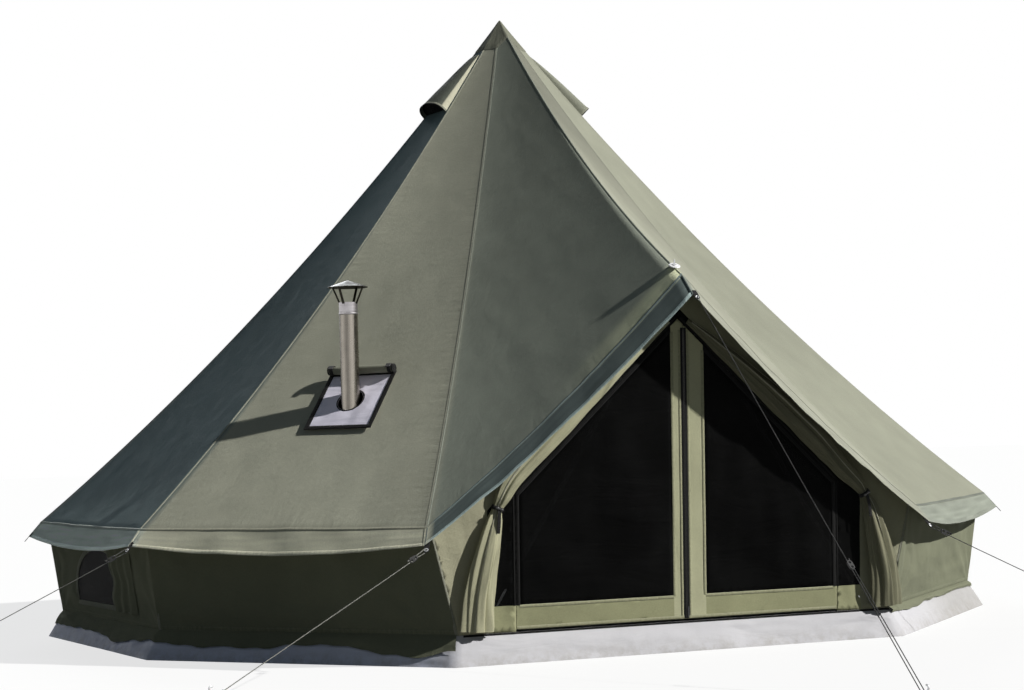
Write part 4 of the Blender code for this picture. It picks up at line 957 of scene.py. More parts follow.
def pulled(across, below, seed):
    """Folds that spread from a corner pulled by its guy."""
    distance = math.hypot(across, below)
    strength = math.exp(-distance / 0.26) * ease(distance, 0.0, 0.06)
    return strength * math.sin(math.atan2(below, across + 1e-6) * 15 + seed)


def roof_base(segment, u, s):
    """Smooth canopy without its wrinkles; s runs from the apex to the eave at 1 and the hem at 2."""
    first, last = roof_stretch(segment)
    door = segment >= PANELS
    radius = EAVE_RADIUS * min(s, 1.0)
    point = edge_point(first, radius).lerp(edge_point(last, radius), u)
    if door:
        point.z -= DOOR_EDGE_SAG * (radius / EAVE_RADIUS) ** 2 * arch(u)
    if s > 1:
        hem = edge_tip(first).lerp(edge_tip(last), u)
        hem.z -= (DOOR_HEM_SAG if door else HEM_SAG) * arch(u)
        point = point.lerp(hem, s - 1)
    return point


def roof_normal(segment, u, s):
    step = 0.01
    across = roof_base(segment, min(1.0, u + step), s) - roof_base(segment, max(0.0, u - step), s)
    high = min(1.0 if s <= 1 else 2.0, s + step)
    down = roof_base(segment, u, high) - roof_base(segment, u, max(0.02, s - step))
    normal = unit(across.cross(down))
    return normal if normal.z > 0 else -normal


def roof_wrinkle(segment, u, s):
    """How far the cloth stands out of the smooth canopy."""
    door = segment >= PANELS
    share = min(s, 1.0)
    inner = arch(u)
    edge = min(1.0, inner * 1.6)
    across = u * (PANEL_WIDTH * share * (1.25 if door else 1.0))
    slope = slope_at(s)
    seed = segment * 3.7
    out = -PANEL_BILLOW * (0.55 if door else 1.0) * inner * math.sin(math.pi * share * 0.86)
    out += 0.0020 * edge * share * ripple(across * 5.0, slope * 0.9, seed)
    out += 0.0011 * edge * share * ripple(across * 13.0 + slope * 2.0, slope * 2.6, seed + 9)
    out += 0.0022 * ease(share, 0.80, 1.0) * inner * ripple(across * 9.0, slope * 2.2, seed + 20)
    if s > 1:
        t = s - 1
        out += 0.0065 * t * inner * ripple(across * 3.2, t * 0.4, seed + 30)
        out += 0.0030 * t * inner * ripple(across * 9.0, t * 0.9, seed + 40)
    for end, (angle, away) in enumerate(zip(roof_stretch(segment), (u, 1 - u))):
        if angle is not None:
            out += 0.0030 * pulled(away * PANEL_WIDTH, (1 - share) * SLOPE_LENGTH, seed + end) * edge
    return out


def roof_at(segment, u, s, lift=0.0):
    return roof_base(segment, u, s) + roof_normal(segment, u, s) * (roof_wrinkle(segment, u, s) + lift)


def around(count):
    """Places round the canopy, as (segment, u), with a number of columns in each segment."""
    return [(segment, k / count) for segment in range(PANELS + 2) for k in range(count)]


STATIONS = [FIRST_STATION + (1 - FIRST_STATION) * (k / ROOF_ROWS) for k in range(ROOF_ROWS + 1)]
STATIONS += [1 + k / VALANCE_ROWS for k in range(1, VALANCE_ROWS + 1)]
ROUND = around(PANEL_COLUMNS)
CLOTH = [[[roof_at(segment, k / PANEL_COLUMNS, s) for k in range(PANEL_COLUMNS + 1)] for s in STATIONS]
         for segment in range(PANELS + 2)]


def cloth_at(segment, u, s, lift=0.0):
    """Point on the canopy's own mesh, so that what is sewn on it lies on its faces."""
    row = 0
    while row < len(STATIONS) - 2 and STATIONS[row + 1] < s:
        row += 1
    t = (s - STATIONS[row]) / (STATIONS[row + 1] - STATIONS[row])
    place = min(max(u, 0.0), 1.0) * PANEL_COLUMNS
    column = min(int(place), PANEL_COLUMNS - 1)
    f = place - column
    near, far = CLOTH[segment][row], CLOTH[segment][row + 1]
    point = near[column].lerp(near[column + 1], f).lerp(far[column].lerp(far[column + 1], f), t)
    return point + roof_normal(segment, u, s) * lift


def tuck(cloth):
    """Keeps a cloth's edge a little below the canopy that it is sewn to."""
    for vert in cloth.data.vertices:
        place, normal, _, _ = ROOF.find_nearest(vert.co, 0.02)
        if place is None:
            continue
        if normal.z < 0:
            normal = -normal
        depth = (place - vert.co).dot(normal)
        if depth < ROOF_TUCK:
            vert.co -= normal * (ROOF_TUCK - depth)


def facet_point(out, distance):
    """Point over the middle of a panel on the CAD's straight facets, on which the jack lies."""
    radius = distance / math.cos(PANEL_ANGLE / 2)
    near, far = next(pair for pair in zip(FACET_RADII, FACET_RADII[1:]) if radius <= pair[1])
    share = (radius - near) / (far - near)
    return out * distance + UP * (seam_height(near) + (seam_height(far) - seam_height(near)) * share)


def jack_place():
    out, side = panel_axes(1)
    low = facet_point(out, JACK_DISTANCE + 0.1)
    high = facet_point(out, JACK_DISTANCE - 0.1)
    return frame_of((low + high) / 2 + side * JACK_SIDE, side, high - low)


JACK = jack_place()
JACK_BACK = JACK.inverted()
JACK_OUT = heading(JACK, 0, 0, 1)


def over_jack(quad):
    """True where a face lies inside the jack's opening."""
    for x, y, z in (JACK_BACK @ point for point in quad):
        if abs(z) > 0.08 or abs(x) > JACK_WIDTH / 2 - JACK_BORDER or abs(y) > JACK_LENGTH / 2 - JACK_BORDER:
            return False
    return True


def cloth_dye(segment, u, s):
    """Painted light and shade of each cut piece against the canvas's own colour: a lighter valance, and
    panels and parts of the door's halves lighter or darker as light falls on them.
    """
    # The valance's painted light, varied at random
    if s > 1:
        mottle = 1 + VALANCE_MOTTLE * ripple(u * 7 + segment * 3.1, s * 12, 4.0)
        return tuple(mottle * Vector(VALANCE_PAINTED_LIGHT.get(segment, (1.3, 1.3, 1.3))))
    tone = Vector(PANEL_PAINTED_LIGHT.get(segment, WHITE))
    # Painted shade at the top of the door's right half
    if segment == PANELS:
        tone *= 0.58 + 0.42 * ease(s, 0.18, 0.62)
    # Painted light lower down and towards the outer edge of the door's left half, and a painted highlight on
    # a fold beside the ridge
    if segment == PANELS + 1:
        tone *= 0.88 + 0.38 * ease(s, 0.45, 1.0) * (0.4 + 0.6 * u)
        fold = ease(s, 0.945, 0.975) * (1 - ease(u, 0.1, 0.5))
        tone = Vector([part * (1 + light * fold) for part, light in zip(tone, FOLD_LIGHT)])
    return tuple(tone)


def pull_marks(segment, u, s):
    """Nearness of a place to the panel's seams and to the eave, for the puckers."""
    width = width_at(segment, s)
    to_eave = abs(slope_at(s) - SLOPE_LENGTH)
    seam = math.exp(-min(u, 1 - u) * width / 0.06) * ease(width, 0.05, 0.7)
    return seam, math.exp(-to_eave / 0.09) * (1.0 if s <= 1 else 0.2), 0.0


def make_canopy():
    rows = [[point for segment in CLOTH for point in segment[number][:-1]] for number in range(len(STATIONS))]
    places = ROUND + [(PANELS + 1, 1)]
    uv = [[((u - 0.5) * width_at(segment, s) + segment * 2.0, slope_at(s)) for segment, u in places]
          for s in STATIONS]
    # Painted light and shade of each place on the canopy
    dye = [[cloth_dye(*place, s) for place in ROUND] for s in STATIONS]
    marks = [[pull_marks(*place, s) for place in ROUND] for s in STATIONS]
    made = grid("canopy", rows, canvas, uv, "canvas_olive", closed=True, skip=over_jack, dye=dye, marks=marks)
    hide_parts("roof_door_left", "roof_door_right", *[f"roof_panel_{k}" for k in range(1, PANELS + 1)])
    return made


def make_seam(segment):
    """Flat-felled seam at the start of a segment, with two rows of stitches."""
    before = (segment - 1) % (PANELS + 2)
    section = (
        (-1, 0.0002), (-0.9, CANVAS_FACE), (-0.45, CANVAS_FACE * 1.1), (0, CANVAS_FACE),
        (0.45, CANVAS_FACE * 1.1), (0.9, CANVAS_FACE), (1, 0.0002))
    stations = [s for s in STATIONS if s >= 0.045]

    def reach(s):
        return min(SEAM_WIDTH / 2, width_at(segment, s) * 0.3, width_at(before, s) * 0.3)

    def at(s, x, lift):
        if x < 0:
            return cloth_at(before, 1 + x * reach(s) / width_at(before, s), s, lift)
        return cloth_at(segment, x * reach(s) / width_at(segment, s), s, lift)

    rows = [[at(s, x, lift) for x, lift in section] for s in stations]
    along = lengths([row[3] for row in rows])
    uv = [[(x * reach(s), running) for x, _ in section] for s, running in zip(stations, along)]
    # Each half of the seam takes the painted light and shade of the panel beside it
    dye = [[cloth_dye(before, 1.0, s)] * 3 + [cloth_dye(segment, 0.0, s)] * 4 for s in stations]
    return grid(f"roof_seam_{segment + 1}", rows, seam_cloth, uv, "canvas_olive", dye=dye)


def ring_band(name, section, look, painted_light_factors):
    """Band round the canopy through rows of (s, lift, place across), with the valance's painted light times a
    painted light factor for some segments.
    """
    rows = [[cloth_at(*place, s, lift) for place in ROUND] for s, lift, _ in section]
    dye = [[tuple(Vector(cloth_dye(*place, max(s, 1.01))) * painted_light_factors.get(place[0], 1.0)) for place in ROUND]
           for s, _, _ in section]
    middle = rows[len(rows) // 2]
    along = lengths(middle + [middle[0]])
    uv = [[(a, v) for v in along] for _, _, a in section]
    return grid(name, rows, look, uv, "canvas_olive", closed=True, dye=dye)


def make_hems():
    """Stitched line where the valance is sewn on, and the folded hem along its edge."""
    # Painted light and shade: the eave seam darker over segments 0 and 1 and lighter over the door's left
    # half; the hem lighter over 0, 1 and 10, as a painted highlight
    eave = ring_band(
        "eave_seam", (
            (0.9976, 0.0001, -0.009), (0.9982, 0.0012, -0.007), (1.0, 0.0018, 0.0), (1.045, 0.0012, 0.0045),
            (1.06, 0.0001, 0.006)), eave_cloth, {0: 0.8, 1: 0.8, 10: 2.4})
    top = 2 - HEM_BAND / VALANCE_WIDTH
    fold = 2 - HEM_BAND / VALANCE_WIDTH * 0.95
    hem = ring_band(
        "valance_hem", (
            (top, 0.0002, -0.008), (fold, CANVAS_FACE, -0.0072), (1.99, CANVAS_FACE, 0.0078),
            (2.0, 0.0, 0.0088), (1.99, -CANVAS_FACE, 0.0096), (fold, -CANVAS_FACE, 0.024),
            (top, -0.0002, 0.025)),
        valance_cloth, {0: 1.1, 1: 1.5, 10: 3.4})
    return [eave, hem]


def tab_reach(ray):
    """Distance from a tab's eye to its outline, which has two cut corners."""
    cut = 0.006
    outline = [
        (0.0, -0.030), (TAB_WIDTH, -0.030), (TAB_WIDTH, TAB_LENGTH - cut), (TAB_WIDTH - cut, TAB_LENGTH),
        (cut, TAB_LENGTH), (0.0, TAB_LENGTH - cut)]
    best = 1.0
    for first, last in zip(outline, outline[1:] + outline[:1]):
        start = Vector(first) - TAB_EYE.xy
        edge = Vector(last) - Vector(first)
        cross = ray.xy.cross(edge)
        if abs(cross) < 1e-12:
            continue
        reach = start.cross(edge) / cross
        if reach > 0 and -1e-6 <= start.cross(ray.xy) / cross <= 1 + 1e-6:
            best = min(best, reach)
    return best


def make_tab(key, place):
    """Doubled canvas tab and its brass-bordered eye."""
    rays = [Vector((math.cos(turn), math.sin(turn), 0)) for turn in round_turns(24)]
    inner = [TAB_EYE + ray * TAB_HOLE_RADIUS for ray in rays]
    outer = [TAB_EYE + ray * tab_reach(ray) for ray in rays]
    half = UP * CANVAS * 0.4
    rings = [[p + lift for p in ring] for ring, lift in (
        (inner, -half), (outer, -half), (outer, half), (inner, half), (inner, -half))]
    uv = [[(p.x - TAB_WIDTH / 2, p.y) for p in ring + ring[:1]] for ring in rings]
    rows = [[place @ p for p in ring] for ring in rings]
    tab = grid(f"guy_tab_{key}", rows, black_webbing, uv, "black_webbing", closed=True, sharp=15)
    section = (
        (-0.0004, -0.0014), (-0.0004, 0.0014), (0.0010, 0.0021), (0.0028, 0.0015), (0.0032, 0.0),
        (0.0028, -0.0015), (0.0010, -0.0021), (-0.0004, -0.0014))
    ring = [(TAB_HOLE_RADIUS + r, z) for r, z in section]
    return [tab, lathe(
        f"guy_eye_{key}", ring, place @ Matrix.Translation(TAB_EYE), pole_steel, "pole_steel", steps=24)]


def make_apex_cap():
    """Doubled patch over the panels' points, stitched round its edge."""
    rim = APEX_CAP_RADIUS / EAVE_RADIUS
    section = (
        (0.0002, 0.004), (0.004, 0.0042), (0.012, 0.0035), (0.022, 0.003), (0.034, 0.003), (0.046, 0.003),
        (rim * 0.97, 0.003), (rim, 0.0003))
    places = around(8)
    rows = [[roof_at(*place, s, lift) for place in places] for s, lift in section]
    uv = [[(s * EAVE_RADIUS - APEX_CAP_RADIUS + 0.009, k / 8 * 0.09) for k in range(len(places) + 1)]
          for s, _ in section]
    cap = grid("apex_patch", rows, apex_canvas, uv, "canvas_olive", closed=True)
    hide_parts("apex_cap")


def make_hood(number, word):
    """Vent hood: arched canvas with a hemmed mouth and a net behind it."""
    out, side = panel_axes(number)
    normal = unit(out + UP)

    def at(distance, column):
        share = (distance - HOOD_TOP) / (HOOD_MOUTH - HOOD_TOP)
        width = distance * math.tan(PANEL_ANGLE / 2) - HOOD_SIDE_MARGIN
        height = HOOD_TOP_HEIGHT + (HOOD_HEIGHT - HOOD_TOP_HEIGHT) * share ** 0.8
        foot = out * distance + UP * (seam_height(distance / math.cos(PANEL_ANGLE / 2)) + GAP * 1.5)
        turn = math.pi * column / (HOOD_COLUMNS - 1)
        rise = math.sin(turn) ** 0.7 if 0 < column < HOOD_COLUMNS - 1 else 0.0
        fold = 0.0022 * rise * ripple(turn * 2.2, share * 3.0, number)
        point = foot - side * width * math.cos(turn) + normal * (height * rise + fold)
        return point, (column * 0.012, share * 0.38)

    columns = range(HOOD_COLUMNS)
    rows, uv = chart(spread(HOOD_TOP, HOOD_MOUTH, 20), columns, at)
    # Painted shade over the hood and a painted highlight on its lit side
    shades = [HOOD_SHADES[word] if column < HOOD_LIT_FROM else HOOD_LIT_SHADE for column in columns]
    hood = grid(f"vent_canvas_{word}", rows, hood_canvas, uv, "canvas_olive", dye=[shades] * len(rows))
    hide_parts(f"vent_hood_{word}")
    inner, mouth = rows[-2:]
    sides = [(unit(p - q), normal) for p, q in zip(mouth, inner)]
    line = [p - s[0] * 0.006 for p, s in zip(mouth, sides)]
    band = ribbon(f"vent_hem_{word}", line, sides, 0.016, hem_cloth, "canvas_olive", 0.0016)

    def net_at(t, column):
        base = inner[0].lerp(inner[-1], column / (HOOD_COLUMNS - 1)) + normal * 0.001
        return base.lerp(inner[column], t * 0.985), (column * 0.012, t * 0.1)

    net_rows, net_uv = chart(spread(0, 1, 9), columns, net_at)
    net = grid(f"vent_net_{word}", net_rows, insect_net, net_uv, "net_black")
    wire_line = [p + normal * 0.0005 for p in mouth]
    wire = rope_tube(f"vent_wire_{word}", wire_line, 0.0022, black_webbing, "black_webbing")


canopy = make_canopy()
ROOF = BVHTree.FromPolygons([vert.co for vert in canopy.data.vertices],
                            [tuple(face.vertices) for face in canopy.data.polygons])
trims = [make_seam(segment) for segment in range(PANELS + 2)] + make_hems()
for corner in range(1, PANELS + 2):
    trims += make_tab(f"corner_{corner}", corner_tab_frame(corner)[0])
trims += make_tab("awning", awning_tab_frame()[0])
make_apex_cap()
make_hood(2, "left")
make_hood(8, "right")


# Walls: one sheet from one side of the door round to the other

def wall_corner(corner, radius):
    if corner in (1, PANELS + 1):
        share = (radius - WALL_RADIUS) / (WALL_TOP_RADIUS - WALL_RADIUS)
        half = DOOR_WALL_HALF_ANGLE + (DOOR_HALF_ANGLE - DOOR_WALL_HALF_ANGLE) * max(0, share)
        return -half if corner == 1 else half - 2 * math.pi
    return corner_angle(corner)


def wall_edge(corner, t, foot=RIM_HEIGHT):
    """Point up a corner's seam, from 0 at the foot to 1 at the roof."""
    low = polar(WALL_RADIUS, wall_corner(corner, WALL_RADIUS), foot)
    return low.lerp(polar(WALL_TOP_RADIUS, wall_corner(corner, WALL_TOP_RADIUS), WALL_TOP), t)


def wall_frame(number):
    low = wall_edge(number, 0) + wall_edge(number + 1, 0)
    high = wall_edge(number, 1) + wall_edge(number + 1, 1)
    return frame_of(low / 2, wall_edge(number, 0) - wall_edge(number + 1, 0), high - low)


def wall_turn(point):
    """Angle round the tent, running down from the left of the door without a jump."""
    angle = math.atan2(point.x, -point.y)
    return angle if angle < -0.3 else angle - 2 * math.pi


def wall_uv(point):
    return (wall_turn(point) * 2.45, point.z)


def wall_share(point):
    """Place along its own wall panel, from 0 at its first corner to 1 at its last."""
    place = (-wall_turn(point) - DOOR_HALF_ANGLE) / PANEL_ANGLE
    return min(PANELS - 1e-6, max(0.0, place)) % 1.0


def wall_out(point):
    """How far the wall's cloth stands out: level slack folds, and puckers drawn from its corners."""
    along, height = wall_uv(point)
    t = (height - RIM_HEIGHT) / (WALL_TOP - RIM_HEIGHT)
    edge = min(1.0, 5 * t * (1 - t) + 0.05)
    share = wall_share(point)
    inner = min(1.0, arch(share) * 3.0)
    out = 0.0075 * edge * inner * ripple(along * 1.6, height * 5.0, 3.0)
    out += 0.0055 * edge * inner * ripple(along * 4.0 + height * 5.0, height * 6.0, 5.0)
    out += 0.0026 * edge * inner * ripple(along * 11.0 + height * 8.0, height * 12.0, 8.0)
    near = min(share, 1 - share) * 1.5
    for level in (RIM_HEIGHT, WALL_TOP):
        drop = abs(height - level)
        distance = math.hypot(near, drop)
        fold = math.sin(math.atan2(drop, near + 1e-6) * 12 + 2)
        out += 0.0060 * math.exp(-distance / 0.30) * fold * ease(distance, 0.0, 0.05) * edge
    low = math.exp(-((t - 0.16) / 0.10) ** 2)
    return out + 0.0050 * low * inner * (0.6 + ripple(along * 3.0, height * 14.0, 12.0))


def window_reach(local):
    """Distance from a window's middle, 1 at its edge."""
    middle = WINDOW_SILL + WINDOW_HEIGHT / 2
    return math.hypot(local.x / WINDOW_HALF_WIDTH, (local.y - middle) / (WINDOW_HEIGHT / 2))


def window_edge(point):
    """Eases the folds out near a window, where the cloth is sewn to its net."""
    for back in WALL_BACKS:
        local = back @ point
        if abs(local.z) < 0.1:
            return ease(window_reach(local), 1.0, 1.5)
    return 1.0


WALL_BACKS = [wall_frame(number).inverted() for number in (2, 8)]


def wall_move(point):
    return radial(point) * (wall_out(point) * window_edge(point))


def wall_side(corner, step):
    """Level direction along the wall, or across the doorway, from a corner."""
    other = (corner - 1 + step) % (PANELS + 1) + 1
    return unit(wall_edge(other, 0) - wall_edge(corner, 0))


def make_wall_seam(corner):
    """Stitched band up a corner, bent round it."""
    before, after = wall_side(corner, -1), wall_side(corner, 1)

    def at(share, place):
        across, lift = place
        point = wall_edge(corner, share * 0.985, RIM_HEIGHT + GAP)
        sideways = after * across if across > 0 else before * -across
        return point + sideways + radial(point) * lift, (across, share * 0.5)

    section = ((-0.009, 0.0012), (-0.0075, 0.0024), (0, 0.0032), (0.0075, 0.0024), (0.009, 0.0012))
    rows, uv = chart(spread(0, 1, 16), section, at)
    return grid(f"wall_seam_{corner}", rows, hem_cloth, uv, "canvas_olive")


def wall_line(height, lift):
    """Points round the walls at a height, with the cloth's own folds."""
    t = (height - RIM_HEIGHT) / (WALL_TOP - RIM_HEIGHT)
    line = []
    for place in spread(1, PANELS + 1, PANELS * 44 + 1):
        number = min(int(place + 1e-9), PANELS)
        point = wall_edge(number, t).lerp(wall_edge(number + 1, t), place - number)
        line.append(point + wall_move(point) + radial(point) * lift)
    return line


def wall_bands():
    """Stitched seam along the wall's foot, and the loose skirt of canvas that hangs from it over the rim."""
    section = ((0.1335, 0.0004), (0.135, 0.0014), (0.144, 0.0017), (0.153, 0.0014), (0.155, 0.0004))
    rows = [wall_line(*place) for place in section]
    along = lengths(rows[2])
    uv = [[(height - 0.144, v) for v in along] for height, _ in section]
    seam = grid("wall_foot_seam", rows, wall_hem, uv, "canvas_olive")
    top = wall_line(0.1345, 0.0008)

    def at(t, k):
        run = along[k]
        right = ease(k / (len(top) - 1), 0.75, 0.9)
        drop = SKIRT_DROP + (SKIRT_DROP_RIGHT - SKIRT_DROP) * right
        fall = t * drop * (1 + 0.40 * ripple(run * 2.2, 1.0, 4.0) + 0.16 * ripple(run * 9.0, 2.0, 4.0))
        puff = 0.0060 * math.sin(math.pi * min(1.0, t * 1.1)) * (1 + ripple(run * 5.0, t, 8.0))
        slope = (RIM_FOOT_RADIUS - WALL_RADIUS) / RIM_HEIGHT
        stand = slope * fall + 0.0035 * ease(t, 0.0, 0.2) + puff
        return top[k] + radial(top[k]) * stand - UP * fall, (run, fall)

    rows, uv = chart(spread(0, 1, 10), range(len(top)), at)
    return [seam, grid("wall_skirt", rows, wall_canvas, uv, "canvas_olive")]


def make_walls():
    def outside(face):
        return face.normal.dot(radial(face.calc_center_median())) > 0.55

    sources = [f"wall_panel_{k}" for k in (1, 2, 5, 8, 9)] + ["wall_rear_left", "wall_rear_right"]
    walls = recloth("walls", sources, wall_canvas, wall_move, wall_uv, 0.030, "canvas_olive", keep=outside)
    extras = [make_wall_seam(corner) for corner in range(1, PANELS + 2)] + wall_bands()
    tuck(walls)


def window_outline():
    points = [(x, WINDOW_SILL) for x in spread(-WINDOW_HALF_WIDTH, WINDOW_HALF_WIDTH, 20)[:-1]]
    rise = WINDOW_HEIGHT - WINDOW_SHOULDER
    for turn in spread(0, math.pi, 40):
        height = WINDOW_SILL + WINDOW_SHOULDER + rise * math.sin(turn)
        points.append((WINDOW_HALF_WIDTH * math.cos(turn), height))
    return points


def flat_sides(place, line, closed=False):
    """Sideways and outward directions along a line of (x, y) points in a frame's plane."""
    ends = (line[-1], line[0]) if closed else (line[0], line[-1])
    run = [ends[0], *line, ends[1]]
    sides = []
    for behind, ahead in zip(run, run[2:]):
        across = unit(heading(place, ahead[1] - behind[1], behind[0] - ahead[0]))
        sides.append((across, heading(place, 0, 0, 1)))
    return sides


def flat_uv(back):
    def uv(point):
        local = back @ point
        return (local.x, local.y)
    return uv


def make_window(number, word, side):
    """Window net, its sewn border, and the cover drawn aside in soft upright folds."""
    place = wall_frame(number)
    back = place.inverted()
    out = heading(place, 0, 0, 1)

    def net_move(point):
        local = back @ point
        inner = max(0.0, 1 - window_reach(local))
        return out * (0.003 * inner * (ripple(local.x * 6, local.y * 9, number) - 1))

    net = recloth(f"window_mesh_{word}", [f"window_net_{word}"], insect_net, net_move, flat_uv(back), 0.035,
                  "net_black")
    outline = window_outline()
    line = [place @ Vector((x, y, 0.0008)) for x, y in outline]
    border = ribbon(f"window_border_{word}", line, flat_sides(place, outline, True), 0.026, hem_cloth,
                    "canvas_olive", 0.0014, closed=True)
    top = WINDOW_SILL + WINDOW_HEIGHT + 0.02
    start = WINDOW_HALF_WIDTH + 0.05 - COVER_WIDTH

    def at(share, u):
        wave = 0.5 - 0.5 * math.cos(2 * math.pi * COVER_FOLDS * u + 0.5 * ripple(u * 2, share * 2, number))
        fine = 0.10 * ripple(u * 11, share * 2.2, number + 4) * share
        depth = COVER_DEPTH * (0.3 + 0.7 * share) * max(0.0, wave + fine) + CANVAS * 0.8 + GAP
        scallop = 0.018 * math.sin(share * 13.0 + 0.6) * ease(share, 0.1, 0.4)
        pull = (0.04 * math.sin(math.pi * share) + scallop) * (1 - u)
        drop = COVER_DROP * share * (1 + 0.012 * ripple(u * 6, 1.0, number))
        point = place @ Vector((side * (start + COVER_WIDTH * u + pull), top - drop, depth))
        return point, (u * 0.42, share * COVER_DROP)

    rows, uv = chart(spread(0, 1, 34), spread(0, 1, 90), at)
    cover = grid(f"window_curtain_{word}", rows, wall_canvas, uv, "canvas_olive")
    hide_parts(f"window_cover_{word}")
    edge = [row[0] + out * 0.0004 for row in rows]
    sides = [(heading(place, side, 0), out)] * len(edge)
    hem = ribbon(f"window_curtain_hem_{word}", edge, sides, 0.012, hem_cloth, "canvas_olive", 0.0012)
    band_place = place @ Matrix.Translation((side * (start + COVER_WIDTH / 2), top + 0.006, 0.0028))
    header = block(f"window_header_{word}", (COVER_WIDTH * 1.04, 0.022, 0.003), band_place, hem_cloth,
                   "canvas_olive")


make_walls()
make_window(2, "left", 1)
make_window(8, "right", -1)


# Groundsheet: its rim up the wall's foot, and the floor

RIM_ANGLES = [wall_corner(corner, WALL_RADIUS) for corner in range(1, PANELS + 2)]
RIM_ANGLES.append(RIM_ANGLES[0] - 2 * math.pi)


def rim_point(first, last, u, height):
    low = polar(RIM_FOOT_RADIUS, first, 0).lerp(polar(RIM_FOOT_RADIUS, last, 0), u)
    high = polar(WALL_RADIUS, first, RIM_HEIGHT).lerp(polar(WALL_RADIUS, last, RIM_HEIGHT), u)
    return low.lerp(high, height / RIM_HEIGHT)


def rim_out(along, t, inner):
    fold = 0.0050 * ripple(along * 1.5, t * 2.2, 11.0) + 0.0030 * ripple(along * 5.5, t * 3.4 + along, 14.0)
    fold += 0.0014 * ripple(along * 15.0, t * 4.0, 17.0)
    return fold * inner * min(1.0, 4 * t * (1 - t) + 0.25 * (1 - t))


def rim_dye(point):
    """The rim's painted light: lighter on the shaded left, and darker beyond the door."""
    aside = ease(point.x, 1.3, 1.9)
    shaded = 1 - ease(point.x, -1.25, -1.05)
    tints = ((0.26, 0.20), (0.27, 0.27), (0.31, 0.45))
    return tuple(1 - dark * aside + pale * shaded for dark, pale in tints)


def make_rim():
    columns = []
    running = 0.0
    for first, last in zip(RIM_ANGLES, RIM_ANGLES[1:]):
        length = (rim_point(first, last, 0, 0) - rim_point(first, last, 1, 0)).length
        count = RIM_DOOR_COLUMNS if last == RIM_ANGLES[-1] else RIM_COLUMNS
        columns += [(first, last, k / count, running + length * k / count) for k in range(count)]
        running += length

    def at(height, column):
        first, last, u, along = column
        out = radial(rim_point(first, last, 0.5, height))
        point = rim_point(first, last, u, height)
        return point + out * rim_out(along, height / RIM_HEIGHT, min(1.0, arch(u) * 4)), (along, height)

    rows, uv = chart(spread(0, RIM_HEIGHT, 15), columns, at)
    for row in uv:
        row.append((running, row[0][1]))
    # Painted light of the rim by place
    dye = [[rim_dye(point) for point in row] for row in rows]
    rim = grid("rim_sheet", rows, ground_sheet, uv, "ground_pvc", closed=True, dye=dye)
    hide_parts("groundsheet_rim")

    def tape_at(place, k):
        drop, lift = place
        high = rows[-1][k]
        fall = RIM_HEIGHT / (len(rows) - 1)
        return high.lerp(rows[-2][k], drop / fall) + radial(high) * lift, (drop - 0.0045, uv[-1][k][0])

    section = ((0.0, -0.0012), (0.0005, 0.0010), (0.0045, 0.0016), (0.0085, 0.0010), (0.009, 0.0001))
    tape_rows, tape_uv = chart(section, range(len(columns) - RIM_DOOR_COLUMNS, len(columns)), tape_at)
    tape = grid("rim_top_tape", tape_rows, black_tape, tape_uv, "black_webbing")


def make_floor():
    """Groundsheet floor with long soft creases where it lay folded."""
    inside = RIM_FOOT_RADIUS - 0.004 - FLOOR_THICKNESS * 0.34 - GAP
    places = [(first, last, k / 20) for first, last in zip(RIM_ANGLES, RIM_ANGLES[1:]) for k in range(20)]

    def at(share, place):
        first, last, u = place
        radius = inside * share
        flat = polar(radius, first, 0).lerp(polar(radius, last, 0), u)
        crease = 0.0016 * ripple(flat.x * 2.0, flat.y * 2.0, 2.0) ** 2
        for fold in (-1.25, 0.0, 1.25):
            crease += 0.0030 * math.exp(-((flat.x - fold) / 0.02) ** 2)
            crease += 0.0030 * math.exp(-((flat.y - fold) / 0.02) ** 2)
        flat.z = 0.0018 + crease * ease(inside - radius, 0.0, 0.15)
        return flat, (flat.x, flat.y)

    rows, uv = chart(spread(0.004, 1, 47), places, at)
    floor = grid("floor_sheet", rows, floor_sheet, [row + row[:1] for row in uv], "ground_pvc", closed=True)
    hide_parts("groundsheet_floor")


make_rim()
make_floor()


# Doors: canvas borders, nets, zip and the fixed panels round them

def door_move(scale, hold):
    """Soft unevenness square to the door's plane, the same on both leaves, and zero where hold is."""
    def move(point):
        local = DOOR_BACK @ point
        amount = ripple(local.x * 4.0, local.y * 2.2, 6.0) + 0.5 * ripple(local.x * 11.0, local.y * 6.0, 7.0)
        return DOOR_OUT * (scale * amount * hold(local))
    return move


def net_hold(local):
    """Zero at a net's edges and one in its middle."""
    low = ease(local.y, BOTTOM_BAND, BOTTOM_BAND + 0.15)
    high = ease(hinge_line(local.x) - local.y, 0.02, 0.16)
    return low * high * ease(abs(local.x - ZIP_X), 0.09, 0.18) * ease(LEAF_OUTER - abs(local.x), 0.015, 0.10)


def leaf_hold(local):
    """Keeps a leaf's edges beside the fixed panels in the door's plane."""
    side = ease(LEAF_OUTER - abs(local.x), 0.0, 0.06)
    slope = ease(hinge_line(local.x) - local.y, 0.0, 0.08)
    zip_side = ease(abs(local.x - ZIP_X), ZIP_BAND, ZIP_BAND + 0.03)
    return side * slope * zip_side * ease(local.y - LEAF_BOTTOM, 0.0, 0.05)


def fixed_hold(local):
    """Keeps the fixed panels' edges in the door's plane."""
    low = WALL_RADIUS * math.sin(DOOR_WALL_HALF_ANGLE)
    high = WALL_TOP_RADIUS * math.sin(DOOR_HALF_ANGLE)
    edge = low + (high - low) * local.y / (WALL_TOP - RIM_HEIGHT)
    outside = ease(abs(local.x) - LEAF_OUTER, 0.0, 0.05)
    return ease(edge - abs(local.x), 0.0, 0.07) * ease(local.y, 0.0, 0.06) * outside


